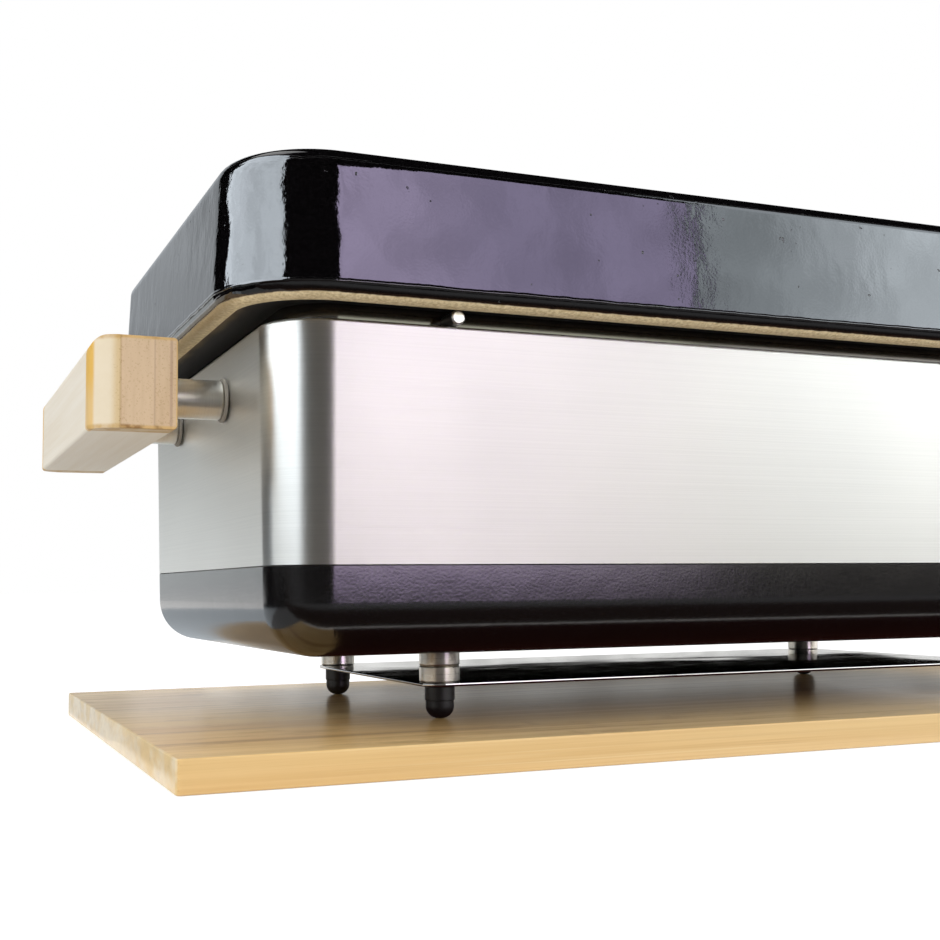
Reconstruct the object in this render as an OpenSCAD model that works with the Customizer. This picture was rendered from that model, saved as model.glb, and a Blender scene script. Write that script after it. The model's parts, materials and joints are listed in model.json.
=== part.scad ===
// Charcoal grill for the table. A glazed ceramic firebox rests on four pins in a stainless
// jacket. The jacket stands on an enamelled pan with stand-off feet, a heat shield and a board.
// Millimetres, +Z up, +X along the length, -Y to the front, origin under the middle of the board.

/* [Board] */
// Length of the board
board_l = 552; // [420:1:700]
// Width of the board
board_w = 298; // [220:1:400]
// Thickness of the board
board_t = 12; // [6:0.5:24]
// Corner radius of the board
board_r = 2; // [0.5:0.5:10]

/* [Feet] */
// Distance between the feet along the length
foot_span_l = 298; // [200:1:340]
// Distance between the feet across the width
foot_span_w = 137; // [90:1:170]
// Diameter of a rubber foot
foot_d = 12.7; // [10:0.1:18]
// Height of a rubber foot
foot_h = 13.6; // [10:0.1:24]
// Rounding of a rubber foot's tip
foot_tip_r = 5.2; // [0.5:0.1:6]
// Diameter of the flat under a rubber foot
foot_flat_d = 2; // [1:0.5:6]
// Diameter of a spacer ring
spacer_d = 17.2; // [13:0.1:24]
// Height of a spacer ring
spacer_h = 7; // [3:0.1:15]
// Rounded edge of a spacer ring
spacer_edge_r = 0.8; // [0.2:0.1:1.2]
// Diameter of a foot stud
stud_d = 6; // [4:0.5:7]
// Depth of a foot stud in the rubber
stud_sunk = 8; // [4:0.5:9]
// Length of a foot stud above its nut
stud_over = 1; // [0.5:0.5:4]
// Width of a foot nut across its flats
nut_w = 10; // [8:0.5:14]
// Height of a foot nut
nut_h = 5; // [3:0.5:8]
// Diameter of the washer under a foot nut
foot_washer_d = 14; // [11:0.5:20]
// Thickness of the washer under a foot nut
foot_washer_t = 1.2; // [0.6:0.1:3]

/* [Heat shield] */
// Thickness of the shield
shield_t = 1.5; // [0.8:0.1:3]
// Reach of the shield past the spacer rings
shield_lap = 0.8; // [0.2:0.1:8]

/* [Base pan] */
// Depth of the pan below the jacket
pan_depth = 34.5; // [26:0.5:60]
// Sheet thickness of the pan
pan_t = 1.6; // [0.8:0.1:3]
// Radius of the pan's lower edge
pan_edge_r = 21; // [8:0.5:22]
// Height of the pan's lip inside the jacket
lip_h = 14; // [6:0.5:30]
// Height of the shoulder where the lip sets in
shoulder_h = 3; // [2:0.5:5]
// Diameter of an air hole in the pan
pan_vent_d = 14; // [6:0.5:24]

/* [Jacket] */
// Length of the jacket at its top edge
jacket_l = 474; // [420:1:560]
// Width of the jacket at its top edge
jacket_w = 254.5; // [220:0.5:300]
// Height of the jacket
jacket_h = 91.2; // [70:0.2:120]
// Sheet thickness of the jacket
jacket_t = 1.2; // [0.8:0.1:2]
// Corner radius of the jacket at its top edge
jacket_r = 24; // [16:0.5:40]
// How far each side draws in towards the lower edge
jacket_draw = 1.7; // [0.2:0.1:4]
// Radius of the bend to the jacket's top flange
jacket_bend_r = 1.6; // [1:0.1:4]

/* [Firebox] */
// Reach of the rim past the jacket's ends
rim_reach_l = 15; // [8:0.5:30]
// Reach of the rim past the jacket's long sides
rim_reach_w = 11; // [6:0.5:30]
// Height of the rim
rim_h = 56; // [35:1:80]
// Corner radius of the rim's top outline
rim_r = 38; // [30:0.5:60]
// How far each side of the rim widens towards its underside
rim_flare = 2.2; // [0.2:0.1:6]
// Rounding of the rim's top edge
rim_top_r = 6; // [2:0.5:12]
// Rounding of the rim's lower edge
rim_low_r = 6; // [1:0.5:8]
// Width of the bare ring under the rim, with its rounded edge
bare_ring_w = 9; // [8.5:0.5:14]
// Height of the bare ring under the rim
bare_ring_h = 2; // [0.5:0.5:4]
// Thickness of the trough's wall at its top
trough_wall = 16; // [10:0.5:24]
// Corner radius of the trough at its top
trough_r = 20; // [18:0.5:36]
// How far each side of the trough draws in towards its floor
trough_draw = 4; // [1:0.5:8]
// Rounding of the trough's lower edge
trough_edge_r = 12; // [3:0.5:13]
// Thickness of the trough's floor
floor_t = 14; // [8:0.5:24]
// Gap between the trough's floor and the studs below it
floor_gap = 4; // [2:0.5:12]
// Depth of the ash space under the charcoal grate
ash_depth = 25; // [15:0.5:40]
// Rounding at the bottom of the ash space
ash_edge_r = 4; // [1:0.5:4.5]
// Width of the ledge under the charcoal grate
ledge_w = 10; // [6:0.5:12]
// Corner radius of the cavity below the cooking grate
cavity_r = 18; // [16:0.5:30]
// How far each side of the cavity draws in towards the ledge
cavity_draw = 3; // [0.5:0.5:3]
// Width of the seat for the cooking grate
seat_w = 9; // [7:0.5:14]
// Depth of the seat for the cooking grate
seat_h = 8; // [6:0.5:14]
// Rounding of the rim's inner edge
mouth_r = 3; // [1:0.5:5]
// Diameter of an air hole in the trough's floor
vent_d = 18; // [8:0.5:30]
// Distance between air holes
vent_pitch = 78; // [36:1:84]
// Number of air holes
vent_count = 5; // [1:2:5]

/* [Rest pins] */
// Diameter of a rest pin
pin_d = 5.8; // [4:0.1:8]
// Distance between the rest pins along the length
pin_span = 330; // [200:1:380]
// Wall left behind a rest pin
pin_back = 6; // [2:0.5:8]
// Reach of a rest pin past the jacket's face
pin_proud = 2.5; // [0:0.1:4]
// How far a rest pin stands up behind the bare ring
pin_nest = 0.8; // [0:0.1:2]
// Rounded end of a rest pin
pin_end_r = 0.8; // [0.2:0.1:1.5]

/* [Charcoal grate] */
// Height of a charcoal bar
coal_bar_h = 6; // [3:0.5:10]
// Thickness of a charcoal bar
coal_bar_t = 5; // [3:0.5:8]
// Distance between charcoal bars
coal_bar_pitch = 14.5; // [12:0.5:24]
// Height of a rail under the charcoal bars
coal_rail_h = 5; // [3:0.5:8]
// Thickness of a rail under the charcoal bars
coal_rail_t = 5; // [3:0.5:8]
// Distance between the rails
coal_rail_span = 110; // [60:1:130]

/* [Cooking grate] */
// Height of the grate's frame
frame_h = 7; // [6:0.5:10]
// Thickness of the grate's frame
frame_t = 5; // [3:0.5:6]
// Diameter of a grate rod
rod_d = 3.6; // [2.5:0.1:4.5]
// Distance between rods
rod_pitch = 10.5; // [7:0.5:16]
// Thickness of a brace under the rods
brace_t = 3; // [2:0.5:6]
// Distance between the braces
brace_span = 80; // [40:1:120]

/* [Handles] */
// Thickness of a handle bar
bar_t = 32; // [24:0.5:44]
// Length of a handle bar
bar_l = 190; // [140:1:220]
// Height of a handle bar
bar_h = 35; // [24:0.2:44]
// Rounding of a handle bar's long edges
bar_edge_r = 1.5; // [0.5:0.5:8]
// Rounding of a handle bar's outer top edge
bar_top_r = 6; // [0.5:0.5:12]
// Drop of a handle bar below the jacket's top edge
bar_drop = 5; // [1:0.1:30]
// Length of the rounded outer corner at each end of a handle bar
bar_cut_l = 12; // [8:1:40]
// Depth of the rounded outer corner at each end of a handle bar
bar_cut_t = 11; // [4:0.5:11]
// Diameter of a stand-off
standoff_d = 16.6; // [13:0.1:22]
// Length of a stand-off
standoff_l = 27.2; // [18:0.2:50]
// Distance between the stand-offs of one handle
standoff_span = 94.6; // [60:0.2:120]
// Diameter of the collar at the jacket
collar_d = 18.6; // [14:0.1:26]
// Thickness of the collar at the jacket
collar_t = 1.5; // [0.8:0.1:4]
// Height of the handle bolts above the middle of a bar
bolt_lift = 1.5; // [0:0.1:4]
// Diameter of a handle bolt
bolt_d = 5; // [4:0.5:6]
// Diameter of a handle bolt's head
bolt_head_d = 9.5; // [8:0.5:12]
// Height of a handle bolt's head
bolt_head_h = 3.3; // [2:0.1:5]
// Diameter of the washer under a bolt's head
bolt_washer_d = 13; // [11:0.5:16]
// Thickness of the washer under a bolt's head
bolt_washer_t = 1; // [0.5:0.1:2]
// Diameter of a threaded insert
insert_d = 9; // [8:0.5:12]
// Length of a threaded insert
insert_l = 16; // [10:0.5:20]

/* [Fits] */
// Clearance round a bolt or stud in its hole
hole_clear = 0.25; // [0.1:0.05:0.6]
// Clearance of a tight fit
fit_clear = 0.05; // [0.02:0.01:0.15]
// Gap under and over a rest pin
rest_clear = 0.2; // [0.1:0.05:0.6]
// Gap between the handle bolts and the trough
trough_clear = 2.7; // [1.5:0.1:6]
// Gap between the jacket's flange and the trough
flange_clear = 2; // [1:0.1:4]
// Side gap round a grate that lifts out
lift_clear = 1.2; // [0.6:0.1:2.5]

/* [Hidden] */
$fn = 64;
// Overcut of a hole past a face
over = 1;

CORNERS = [["front_left", -1, -1], ["front_right", 1, -1], ["rear_left", -1, 1], ["rear_right", 1, 1]];
ENDS = [["left", -1], ["right", 1]];

// Heights
shield_z = board_t + foot_h;
spacer_z = shield_z + shield_t;
pan_z = spacer_z + 2 * spacer_h;
jacket_z = pan_z + pan_depth;
rest_z = jacket_z + jacket_h;
rim_z = rest_z + pin_d + 2 * rest_clear - min(pin_nest, bare_ring_h);
top_z = rim_z + rim_h;
stud_top_z = pan_z + pan_t + foot_washer_t + nut_h + stud_over;
trough_z = stud_top_z + floor_gap;
floor_z = trough_z + floor_t;
ledge_z = floor_z + ash_depth;
seat_z = top_z - seat_h;
trough_top_z = snap(rim_z + rim_h / 2);
grate_top_z = seat_z + frame_h;
pin_z = rest_z + rest_clear + pin_d / 2;
pin_sunk = trough_wall - pin_back;
handle_z = rest_z - bar_drop - bar_h / 2;
bolt_z = handle_z + bolt_lift;

// Corner centres and radii of the casing, shared by the pan and the jacket
case_x = jacket_l / 2 - jacket_r;
case_y = jacket_w / 2 - jacket_r;
pan_round_r = min(pan_edge_r, jacket_r - 2 * jacket_draw);
bend_r = max(jacket_bend_r, 1.25 * jacket_t);

// Corner centres and radii of the rim, the trough and the cavity
rim_x = jacket_l / 2 + rim_reach_l - rim_r;
rim_y = jacket_w / 2 + rim_reach_w - rim_r;
ring_y = rim_y + rim_r + rim_flare - bare_ring_w;
trough_gap = bolt_washer_t + bolt_head_h + trough_clear;
trough_x = jacket_l / 2 - jacket_t - trough_gap - trough_r;
trough_y = jacket_w / 2 - jacket_t - trough_gap - trough_r;
cavity_x = trough_x + trough_r - trough_wall - cavity_r;
cavity_y = trough_y + trough_r - trough_wall - cavity_r;
seat_r = cavity_r + seat_w;
ledge_r = cavity_r - cavity_draw;
ash_r = ledge_r - ledge_w;

// Cooking grate
frame_r = seat_r - lift_clear;
frame_in_r = frame_r - frame_t;
frame_in_y = cavity_y + frame_in_r;
frame_in_x = cavity_x + frame_in_r;
rod_count = floor((frame_in_x - rod_d) / rod_pitch);

// Charcoal grate
coal_half_y = cavity_y + ledge_r - lift_clear;
coal_bar_count = floor((cavity_x - coal_bar_t / 2) / coal_bar_pitch);
coal_half_x = coal_bar_count * coal_bar_pitch + coal_bar_t / 2;

// Handles, as distances from the middle of the grill
collar_x = jacket_l / 2 - jacket_inset(bolt_z + collar_d / 2) + fit_clear;
standoff_x = collar_x + collar_t;
bar_x = standoff_x + standoff_l;
bolt_seat_x = jacket_l / 2 - jacket_inset(bolt_z - bolt_washer_d / 2) - jacket_t - 2 * fit_clear;
bolt_tip_x = bar_x + insert_l;
bar_cut_r = (bar_cut_l * bar_cut_l + bar_cut_t * bar_cut_t) / (2 * bar_cut_t);

// Colours
BAMBOO = [0.80, 0.63, 0.38];
PALE_BAMBOO = [0.86, 0.76, 0.58];
RUBBER = [0.06, 0.06, 0.06];
STEEL = [0.72, 0.72, 0.74];
ENAMEL = [0.08, 0.07, 0.07];
GLAZE = [0.04, 0.03, 0.04];
IRON = [0.25, 0.25, 0.26];
BRASS = [0.78, 0.62, 0.30];

// Section points lie on a fine grid, so that arcs and lines meet in the same point
function snap(v) = round(v * 100) / 100;

// How far the casing's face lies inside the jacket's top edge at height z
function jacket_inset(z) =
    jacket_draw * max(0, rest_z - bend_r - z) / (jacket_h - bend_r);

// Outer quarter of a round of radius r about c, at the foot or the head of a wall
module foot_round(c, r) {
    intersection() {
        translate(c) circle(r);
        translate(c - [0, r]) square(r);
    }
}
module head_round(c, r) {
    intersection() {
        translate(c) circle(r);
        translate(c) square(r);
    }
}

// Sweeps a section round a rectangle of corner centres; the section's x points outwards
module swept(half_x, half_y) {
    for (turn = [0:3]) {
        reach = turn % 2 == 0 ? half_x : half_y;
        half_side = turn % 2 == 0 ? half_y : half_x;
        rotate(90 * turn) translate([reach, half_side, 0]) {
            rotate_extrude(angle = 90) children();
            rotate([90, 0, 0]) linear_extrude(2 * half_side) children();
        }
    }
}

// The same sweep with its middle filled from z0 to z1
module swept_block(half_x, half_y, z0, z1) {
    swept(half_x, half_y) children();
    translate([-half_x, -half_y, z0]) cube([2 * half_x, 2 * half_y, z1 - z0]);
}

// Flat rounded rectangle about the origin, from corner centres and a corner radius
module rounded_plate(half_x, half_y, r) {
    square(2 * [half_x + r, half_y], center = true);
    square(2 * [half_x, half_y + r], center = true);
    for (corner = CORNERS) translate([corner[1] * half_x, corner[2] * half_y]) circle(r);
}

// Places children at a foot, or at every foot
module at_foot(corner) {
    translate([corner[1] * foot_span_l / 2, corner[2] * foot_span_w / 2, 0]) children();
}
module at_feet() {
    for (corner = CORNERS) at_foot(corner) children();
}

// Places children on a handle bolt's axis, with local +Z pointing out of the grill
module at_bolt(corner, x) {
    translate([corner[1] * x, corner[2] * standoff_span / 2, bolt_z]) rotate([0, 90 * corner[1], 0]) children();
}

// Places children on a rest pin's axis, with local +Z pointing out of the grill
module at_pins(y) {
    for (corner = CORNERS)
        translate([corner[1] * pin_span / 2, corner[2] * y, pin_z]) rotate([-90 * corner[2], 0, 0]) children();
}

// Places children at every air hole
module at_vents() {
    for (i = [0:vent_count - 1]) translate([(i - (vent_count - 1) / 2) * vent_pitch, 0, 0]) children();
}

// Round disc with a bore
module washer(d, t, bore) {
    difference() {
        cylinder(d = d, h = t);
        translate([0, 0, -t]) cylinder(d = bore, h = 3 * t);
    }
}

module base_board() {
    color(BAMBOO) linear_extrude(board_t)
        rounded_plate(board_l / 2 - board_r, board_w / 2 - board_r, board_r);
}

module rubber_foot() {
    tip_r = min(foot_tip_r, (foot_d - foot_flat_d) / 2);
    tip = [foot_d / 2 - tip_r, tip_r];
    color(RUBBER) translate([0, 0, board_t]) difference() {
        rotate_extrude() {
            polygon([[0, 0], [tip.x, 0], [foot_d / 2, tip.y], [foot_d / 2, foot_h], [0, foot_h]]);
            foot_round(tip, tip_r);
        }
        translate([0, 0, foot_h - stud_sunk]) cylinder(d = stud_d + 2 * fit_clear, h = 2 * stud_sunk);
    }
}

module heat_shield() {
    color(STEEL) translate([0, 0, shield_z]) linear_extrude(shield_t) difference() {
        rounded_plate(foot_span_l / 2, foot_span_w / 2, spacer_d / 2 + shield_lap);
        at_feet() circle(d = stud_d + 2 * hole_clear);
    }
}

module spacer() {
    low = [spacer_d / 2 - spacer_edge_r, spacer_edge_r];
    high = [low.x, spacer_h - spacer_edge_r];
    color(STEEL) difference() {
        rotate_extrude() {
            polygon([
                [0, 0], [low.x, 0], [spacer_d / 2, low.y], [spacer_d / 2, high.y], [high.x, spacer_h],
                [0, spacer_h]
            ]);
            foot_round(low, spacer_edge_r);
            head_round(high, spacer_edge_r);
        }
        translate([0, 0, -spacer_h]) cylinder(d = stud_d + 2 * hole_clear, h = 3 * spacer_h);
    }
}

module foot_studs() {
    stud_z = shield_z - stud_sunk;
    color(STEEL) at_feet() translate([0, 0, stud_z]) cylinder(d = stud_d, h = stud_top_z - stud_z);
}

module foot_washers() {
    color(STEEL) at_feet() translate([0, 0, pan_z + pan_t])
        washer(foot_washer_d, foot_washer_t, stud_d + 2 * hole_clear);
}

module foot_nuts() {
    color(STEEL) at_feet() translate([0, 0, pan_z + pan_t + foot_washer_t]) difference() {
        cylinder(d = nut_w / cos(30), h = nut_h, $fn = 6);
        translate([0, 0, -nut_h]) cylinder(d = stud_d + 2 * fit_clear, h = 3 * nut_h);
    }
}

// Half section of the pan, from the corner centres outwards
module pan_section() {
    wall_r = jacket_r - jacket_draw;
    foot_r = snap(jacket_r - jacket_inset(pan_z + pan_round_r));
    lip_r = wall_r - jacket_t - fit_clear;
    lip_lean = snap(jacket_inset(jacket_z) - jacket_inset(jacket_z + lip_h));
    edge = [foot_r - pan_round_r, pan_z + pan_round_r];
    difference() {
        union() {
            polygon([[0, pan_z], [edge.x, pan_z], [foot_r, edge.y], [wall_r, jacket_z], [0, jacket_z]]);
            foot_round(edge, pan_round_r);
        }
        polygon([
            [-over, pan_z + pan_t], [edge.x, pan_z + pan_t], [foot_r - pan_t, edge.y],
            [wall_r - pan_t, jacket_z], [wall_r - pan_t, jacket_z + over], [-over, jacket_z + over]
        ]);
        foot_round(edge, pan_round_r - pan_t);
    }
    polygon([
        [lip_r - pan_t, jacket_z - shoulder_h], [wall_r - pan_t / 2, jacket_z - shoulder_h],
        [wall_r - pan_t / 2, jacket_z], [lip_r, jacket_z], [lip_r + lip_lean, jacket_z + lip_h],
        [lip_r + lip_lean - pan_t, jacket_z + lip_h]
    ]);
}

module base_pan() {
    color(ENAMEL) difference() {
        swept_block(case_x, case_y, pan_z, pan_z + pan_t) pan_section();
        at_feet() translate([0, 0, pan_z - pan_t]) cylinder(d = stud_d + 2 * hole_clear, h = 3 * pan_t);
        at_vents() translate([0, 0, pan_z - pan_t]) cylinder(d = pan_vent_d, h = 3 * pan_t);
    }
}

// Half section of the jacket: a drawn wall that bends into a flange at the top
module jacket_section() {
    wall_r = jacket_r - jacket_draw;
    flange_r = jacket_r - jacket_t - trough_gap + flange_clear;
    bend = [jacket_r - bend_r, rest_z - bend_r];
    difference() {
        union() {
            polygon([[flange_r, jacket_z], [wall_r, jacket_z], [jacket_r, bend.y], [bend.x, rest_z], [flange_r, rest_z]]);
            head_round(bend, bend_r);
        }
        polygon([
            [flange_r - over, jacket_z - over], [wall_r - jacket_t, jacket_z - over], [wall_r - jacket_t, jacket_z],
            [jacket_r - jacket_t, bend.y], [bend.x, rest_z - jacket_t], [flange_r - over, rest_z - jacket_t]
        ]);
        head_round(bend, bend_r - jacket_t);
    }
}

module steel_jacket() {
    color(STEEL) difference() {
        swept(case_x, case_y) jacket_section();
        for (corner = CORNERS) at_bolt(corner, bolt_seat_x - jacket_t)
            cylinder(d = bolt_d + 2 * hole_clear, h = 4 * jacket_t);
    }
}

// Half section of the rim, with the bare ring under its edge
module rim_section() {
    low_r = rim_r + rim_flare;
    low = [low_r - rim_low_r, rim_z + rim_low_r];
    high = [rim_r - rim_top_r, top_z - rim_top_r];
    ring_r = low_r - bare_ring_w;
    polygon([
        [0, rim_z + bare_ring_h], [ring_r, rim_z + bare_ring_h], [ring_r, rim_z], [low.x, rim_z],
        [low_r, low.y], [rim_r, high.y], [high.x, top_z], [0, top_z]
    ]);
    foot_round(low, rim_low_r);
    head_round(high, rim_top_r);
}

// Half section of the trough that hangs in the jacket
module trough_section() {
    foot_r = trough_r - trough_draw;
    edge = [foot_r - trough_edge_r, trough_z + trough_edge_r];
    polygon([[0, trough_z], [edge.x, trough_z], [foot_r, edge.y], [trough_r, trough_top_z], [0, trough_top_z]]);
    foot_round(edge, trough_edge_r);
}

// Half section of the hollow: ash space, ledge, charcoal bed, grate seat and rounded mouth
module cavity_section() {
    edge = [ash_r - ash_edge_r, floor_z + ash_edge_r];
    polygon([
        [0, floor_z], [edge.x, floor_z], [ash_r, edge.y], [ash_r, ledge_z], [ledge_r, ledge_z],
        [cavity_r, seat_z], [seat_r, seat_z], [seat_r, top_z + over], [0, top_z + over]
    ]);
    foot_round(edge, ash_edge_r);
    translate([seat_r, top_z - mouth_r]) difference() {
        square([mouth_r, mouth_r + over]);
        translate([mouth_r, 0]) circle(mouth_r);
    }
}

module firebox() {
    color(GLAZE) difference() {
        union() {
            swept_block(rim_x, rim_y, rim_z + bare_ring_h, top_z) rim_section();
            swept_block(trough_x, trough_y, trough_z, trough_top_z) trough_section();
        }
        swept_block(cavity_x, cavity_y, floor_z, top_z + over) cavity_section();
        at_vents() translate([0, 0, trough_z - over]) cylinder(d = vent_d, h = floor_t + 2 * over);
        at_pins(trough_y + trough_r - pin_sunk)
            cylinder(d = pin_d + 2 * fit_clear, h = pin_sunk + trough_gap);
    }
}

module rest_pins() {
    inner_y = trough_y + trough_r - pin_sunk;
    pin_l = min(jacket_w / 2 + pin_proud, ring_y - rest_clear) - inner_y;
    tip = [pin_d / 2 - pin_end_r, pin_l - pin_end_r];
    color(STEEL) at_pins(inner_y) rotate_extrude() {
        polygon([[0, 0], [pin_d / 2, 0], [pin_d / 2, tip.y], [tip.x, pin_l], [0, pin_l]]);
        head_round(tip, pin_end_r);
    }
}

module charcoal_bars() {
    color(IRON) for (i = [-coal_bar_count:coal_bar_count])
        translate([i * coal_bar_pitch - coal_bar_t / 2, -coal_half_y, ledge_z])
            cube([coal_bar_t, 2 * coal_half_y, coal_bar_h]);
}

module charcoal_rails() {
    color(IRON) for (side = [-1, 1])
        translate([-coal_half_x, side * coal_rail_span / 2 - coal_rail_t / 2, ledge_z - coal_rail_h])
            cube([2 * coal_half_x, coal_rail_t, coal_rail_h]);
}

module grate_frame() {
    color(STEEL) translate([0, 0, seat_z]) linear_extrude(frame_h) difference() {
        rounded_plate(cavity_x, cavity_y, frame_r);
        rounded_plate(cavity_x, cavity_y, frame_in_r);
    }
}

module grate_rods() {
    color(STEEL) intersection() {
        for (i = [-rod_count:rod_count])
            translate([i * rod_pitch, frame_in_y, grate_top_z - rod_d / 2]) rotate([90, 0, 0])
                cylinder(d = rod_d, h = 2 * frame_in_y);
        translate([0, 0, seat_z]) linear_extrude(2 * frame_h) rounded_plate(cavity_x, cavity_y, frame_in_r);
    }
}

module grate_braces() {
    brace_h = frame_h - rod_d - fit_clear;
    color(STEEL) for (side = [-1, 1])
        translate([-frame_in_x, side * brace_span / 2 - brace_t / 2, seat_z])
            cube([2 * frame_in_x, brace_t, brace_h]);
}

// Outline of a handle bar from above, on the right end
module bar_outline() {
    difference() {
        translate([bar_x, -bar_l / 2]) square([bar_t, bar_l]);
        for (side = [0, 1]) mirror([0, side]) difference() {
            translate([bar_x + bar_t - bar_cut_t, bar_l / 2 - bar_cut_l]) square([bar_cut_t + over, bar_cut_l + over]);
            translate([bar_x + bar_t - bar_cut_r, bar_l / 2 - bar_cut_l]) circle(bar_cut_r, $fn = 128);
        }
    }
}

// Section of a handle bar about its middle, with a rounder edge at the outer top
module bar_section() {
    half = [bar_t, bar_h] / 2;
    low = half - [bar_edge_r, bar_edge_r];
    high = half - [bar_top_r, bar_top_r];
    polygon([
        [-half.x, -low.y], [-low.x, -half.y], [low.x, -half.y], [half.x, -low.y],
        [half.x, high.y], [high.x, half.y], [-low.x, half.y], [-half.x, low.y]
    ]);
    head_round(high, bar_top_r);
    foot_round([low.x, -low.y], bar_edge_r);
    mirror([1, 0]) head_round(low, bar_edge_r);
    mirror([1, 0]) foot_round([low.x, -low.y], bar_edge_r);
}

module handle_bar(end) {
    color(PALE_BAMBOO) mirror([end[1] < 0 ? 1 : 0, 0, 0]) difference() {
        intersection() {
            translate([0, 0, handle_z - bar_h / 2]) linear_extrude(bar_h) bar_outline();
            translate([bar_x + bar_t / 2, bar_l / 2, handle_z]) rotate([90, 0, 0]) linear_extrude(bar_l)
                bar_section();
        }
        for (corner = CORNERS) if (corner[1] > 0) at_bolt(corner, bar_x - over)
            cylinder(d = insert_d + 2 * fit_clear, h = insert_l + 2 * over);
    }
}

module handle_standoff(corner) {
    color(STEEL) at_bolt(corner, standoff_x) washer(standoff_d, standoff_l, bolt_d + 2 * hole_clear);
}

module handle_collar(corner) {
    color(STEEL) at_bolt(corner, collar_x) washer(collar_d, collar_t, bolt_d + 2 * hole_clear);
}

module handle_bolt_washers() {
    color(STEEL) for (corner = CORNERS) at_bolt(corner, bolt_seat_x - bolt_washer_t)
        washer(bolt_washer_d, bolt_washer_t, bolt_d + 2 * hole_clear);
}

module handle_bolts() {
    head_x = bolt_seat_x - bolt_washer_t - bolt_head_h;
    color(STEEL) for (corner = CORNERS) at_bolt(corner, head_x) {
        cylinder(d = bolt_head_d, h = bolt_head_h);
        cylinder(d = bolt_d, h = bolt_tip_x - head_x);
    }
}

module handle_inserts() {
    color(BRASS) for (corner = CORNERS) at_bolt(corner, bar_x)
        washer(insert_d, insert_l, bolt_d + 2 * fit_clear);
}

base_board();
heat_shield();
base_pan();
steel_jacket();
firebox();
rest_pins();
charcoal_bars();
charcoal_rails();
grate_frame();
grate_rods();
grate_braces();
foot_studs();
foot_washers();
foot_nuts();
handle_bolts();
handle_bolt_washers();
handle_inserts();
for (end = ENDS) {
    handle_bar(end);
}
for (corner = CORNERS) {
    at_foot(corner) rubber_foot();
    at_foot(corner) translate([0, 0, spacer_z]) spacer();
    at_foot(corner) translate([0, 0, spacer_z + spacer_h]) spacer();
    handle_standoff(corner);
    handle_collar(corner);
}
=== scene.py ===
import json
import math

import bmesh
import bpy
from mathutils import Matrix, Vector

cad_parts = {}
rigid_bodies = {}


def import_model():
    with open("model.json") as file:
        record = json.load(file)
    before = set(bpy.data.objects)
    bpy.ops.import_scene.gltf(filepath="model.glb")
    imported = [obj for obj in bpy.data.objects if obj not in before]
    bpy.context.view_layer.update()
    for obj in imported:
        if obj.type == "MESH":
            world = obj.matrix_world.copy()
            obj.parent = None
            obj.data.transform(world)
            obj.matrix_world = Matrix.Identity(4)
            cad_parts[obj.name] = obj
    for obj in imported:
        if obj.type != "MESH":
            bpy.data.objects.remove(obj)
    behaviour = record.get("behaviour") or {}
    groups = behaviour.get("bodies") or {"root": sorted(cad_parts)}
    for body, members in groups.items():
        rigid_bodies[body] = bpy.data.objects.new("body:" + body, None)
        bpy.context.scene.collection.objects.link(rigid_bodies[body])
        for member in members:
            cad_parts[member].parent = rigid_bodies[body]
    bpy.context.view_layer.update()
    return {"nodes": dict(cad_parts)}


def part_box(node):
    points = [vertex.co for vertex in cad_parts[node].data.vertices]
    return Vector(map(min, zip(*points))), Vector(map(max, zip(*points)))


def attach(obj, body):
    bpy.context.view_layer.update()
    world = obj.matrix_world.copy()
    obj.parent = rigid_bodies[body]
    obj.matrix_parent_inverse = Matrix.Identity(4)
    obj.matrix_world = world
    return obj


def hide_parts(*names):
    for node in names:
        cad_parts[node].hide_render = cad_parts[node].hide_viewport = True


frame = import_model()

CORNERS = ("front_left", "front_right", "rear_left", "rear_right")
QUARTER = math.pi / 2
ALONG = Vector((1, 0, 0))
ACROSS = Vector((0, 1, 0))
UP = Vector((0, 0, 1))


# Camera, at the place, aim and lens of the photograph

IMAGE_SIDE = 940
SENSOR_MM = 36.0
LENS_PIXELS = 1270.2
CAMERA_EYE = (-0.35864, -0.56847, 0.06693)
CAMERA_YAW = 0.3861
CAMERA_PITCH = 0.0883
CAMERA_ROLL = -0.0102
CAMERA_SHIFT = (0.0496, 0.0051)
CAMERA_NEAR = 0.01


def place_camera():
    lens = bpy.data.cameras.new("photo_camera")
    lens.sensor_width = SENSOR_MM
    lens.lens = SENSOR_MM * LENS_PIXELS / IMAGE_SIDE
    lens.shift_x, lens.shift_y = CAMERA_SHIFT
    lens.clip_start = CAMERA_NEAR
    camera = bpy.data.objects.new("photo_camera", lens)
    aim = Matrix.Rotation(-CAMERA_YAW, 4, "Z") @ Matrix.Rotation(QUARTER + CAMERA_PITCH, 4, "X")
    camera.matrix_world = Matrix.Translation(CAMERA_EYE) @ aim @ Matrix.Rotation(CAMERA_ROLL, 4, "Z")
    bpy.context.collection.objects.link(camera)
    bpy.context.scene.camera = camera


# Modelling by operators

DOT = 0.0004  # side of the plane that becomes a pen's first vertex
SEAM = 0.000004  # vertices this close are joined
NEAR = 0.00002  # slack when a place is tested
PLUMB = 0.99  # least upward share of an upright edge
SHARP_ANGLE = 0.6  # least turn, in radians, between the faces at a sharp edge
HOLE_SIDES = 40
FACE_WEIGHT = 80


def pick(*pieces):
    if bpy.context.object and bpy.context.object.mode != "OBJECT":
        bpy.ops.object.mode_set(mode="OBJECT")
    bpy.ops.object.select_all(action="DESELECT")
    for piece in pieces:
        piece.select_set(True)
    bpy.context.view_layer.objects.active = pieces[0] if pieces else None


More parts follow.
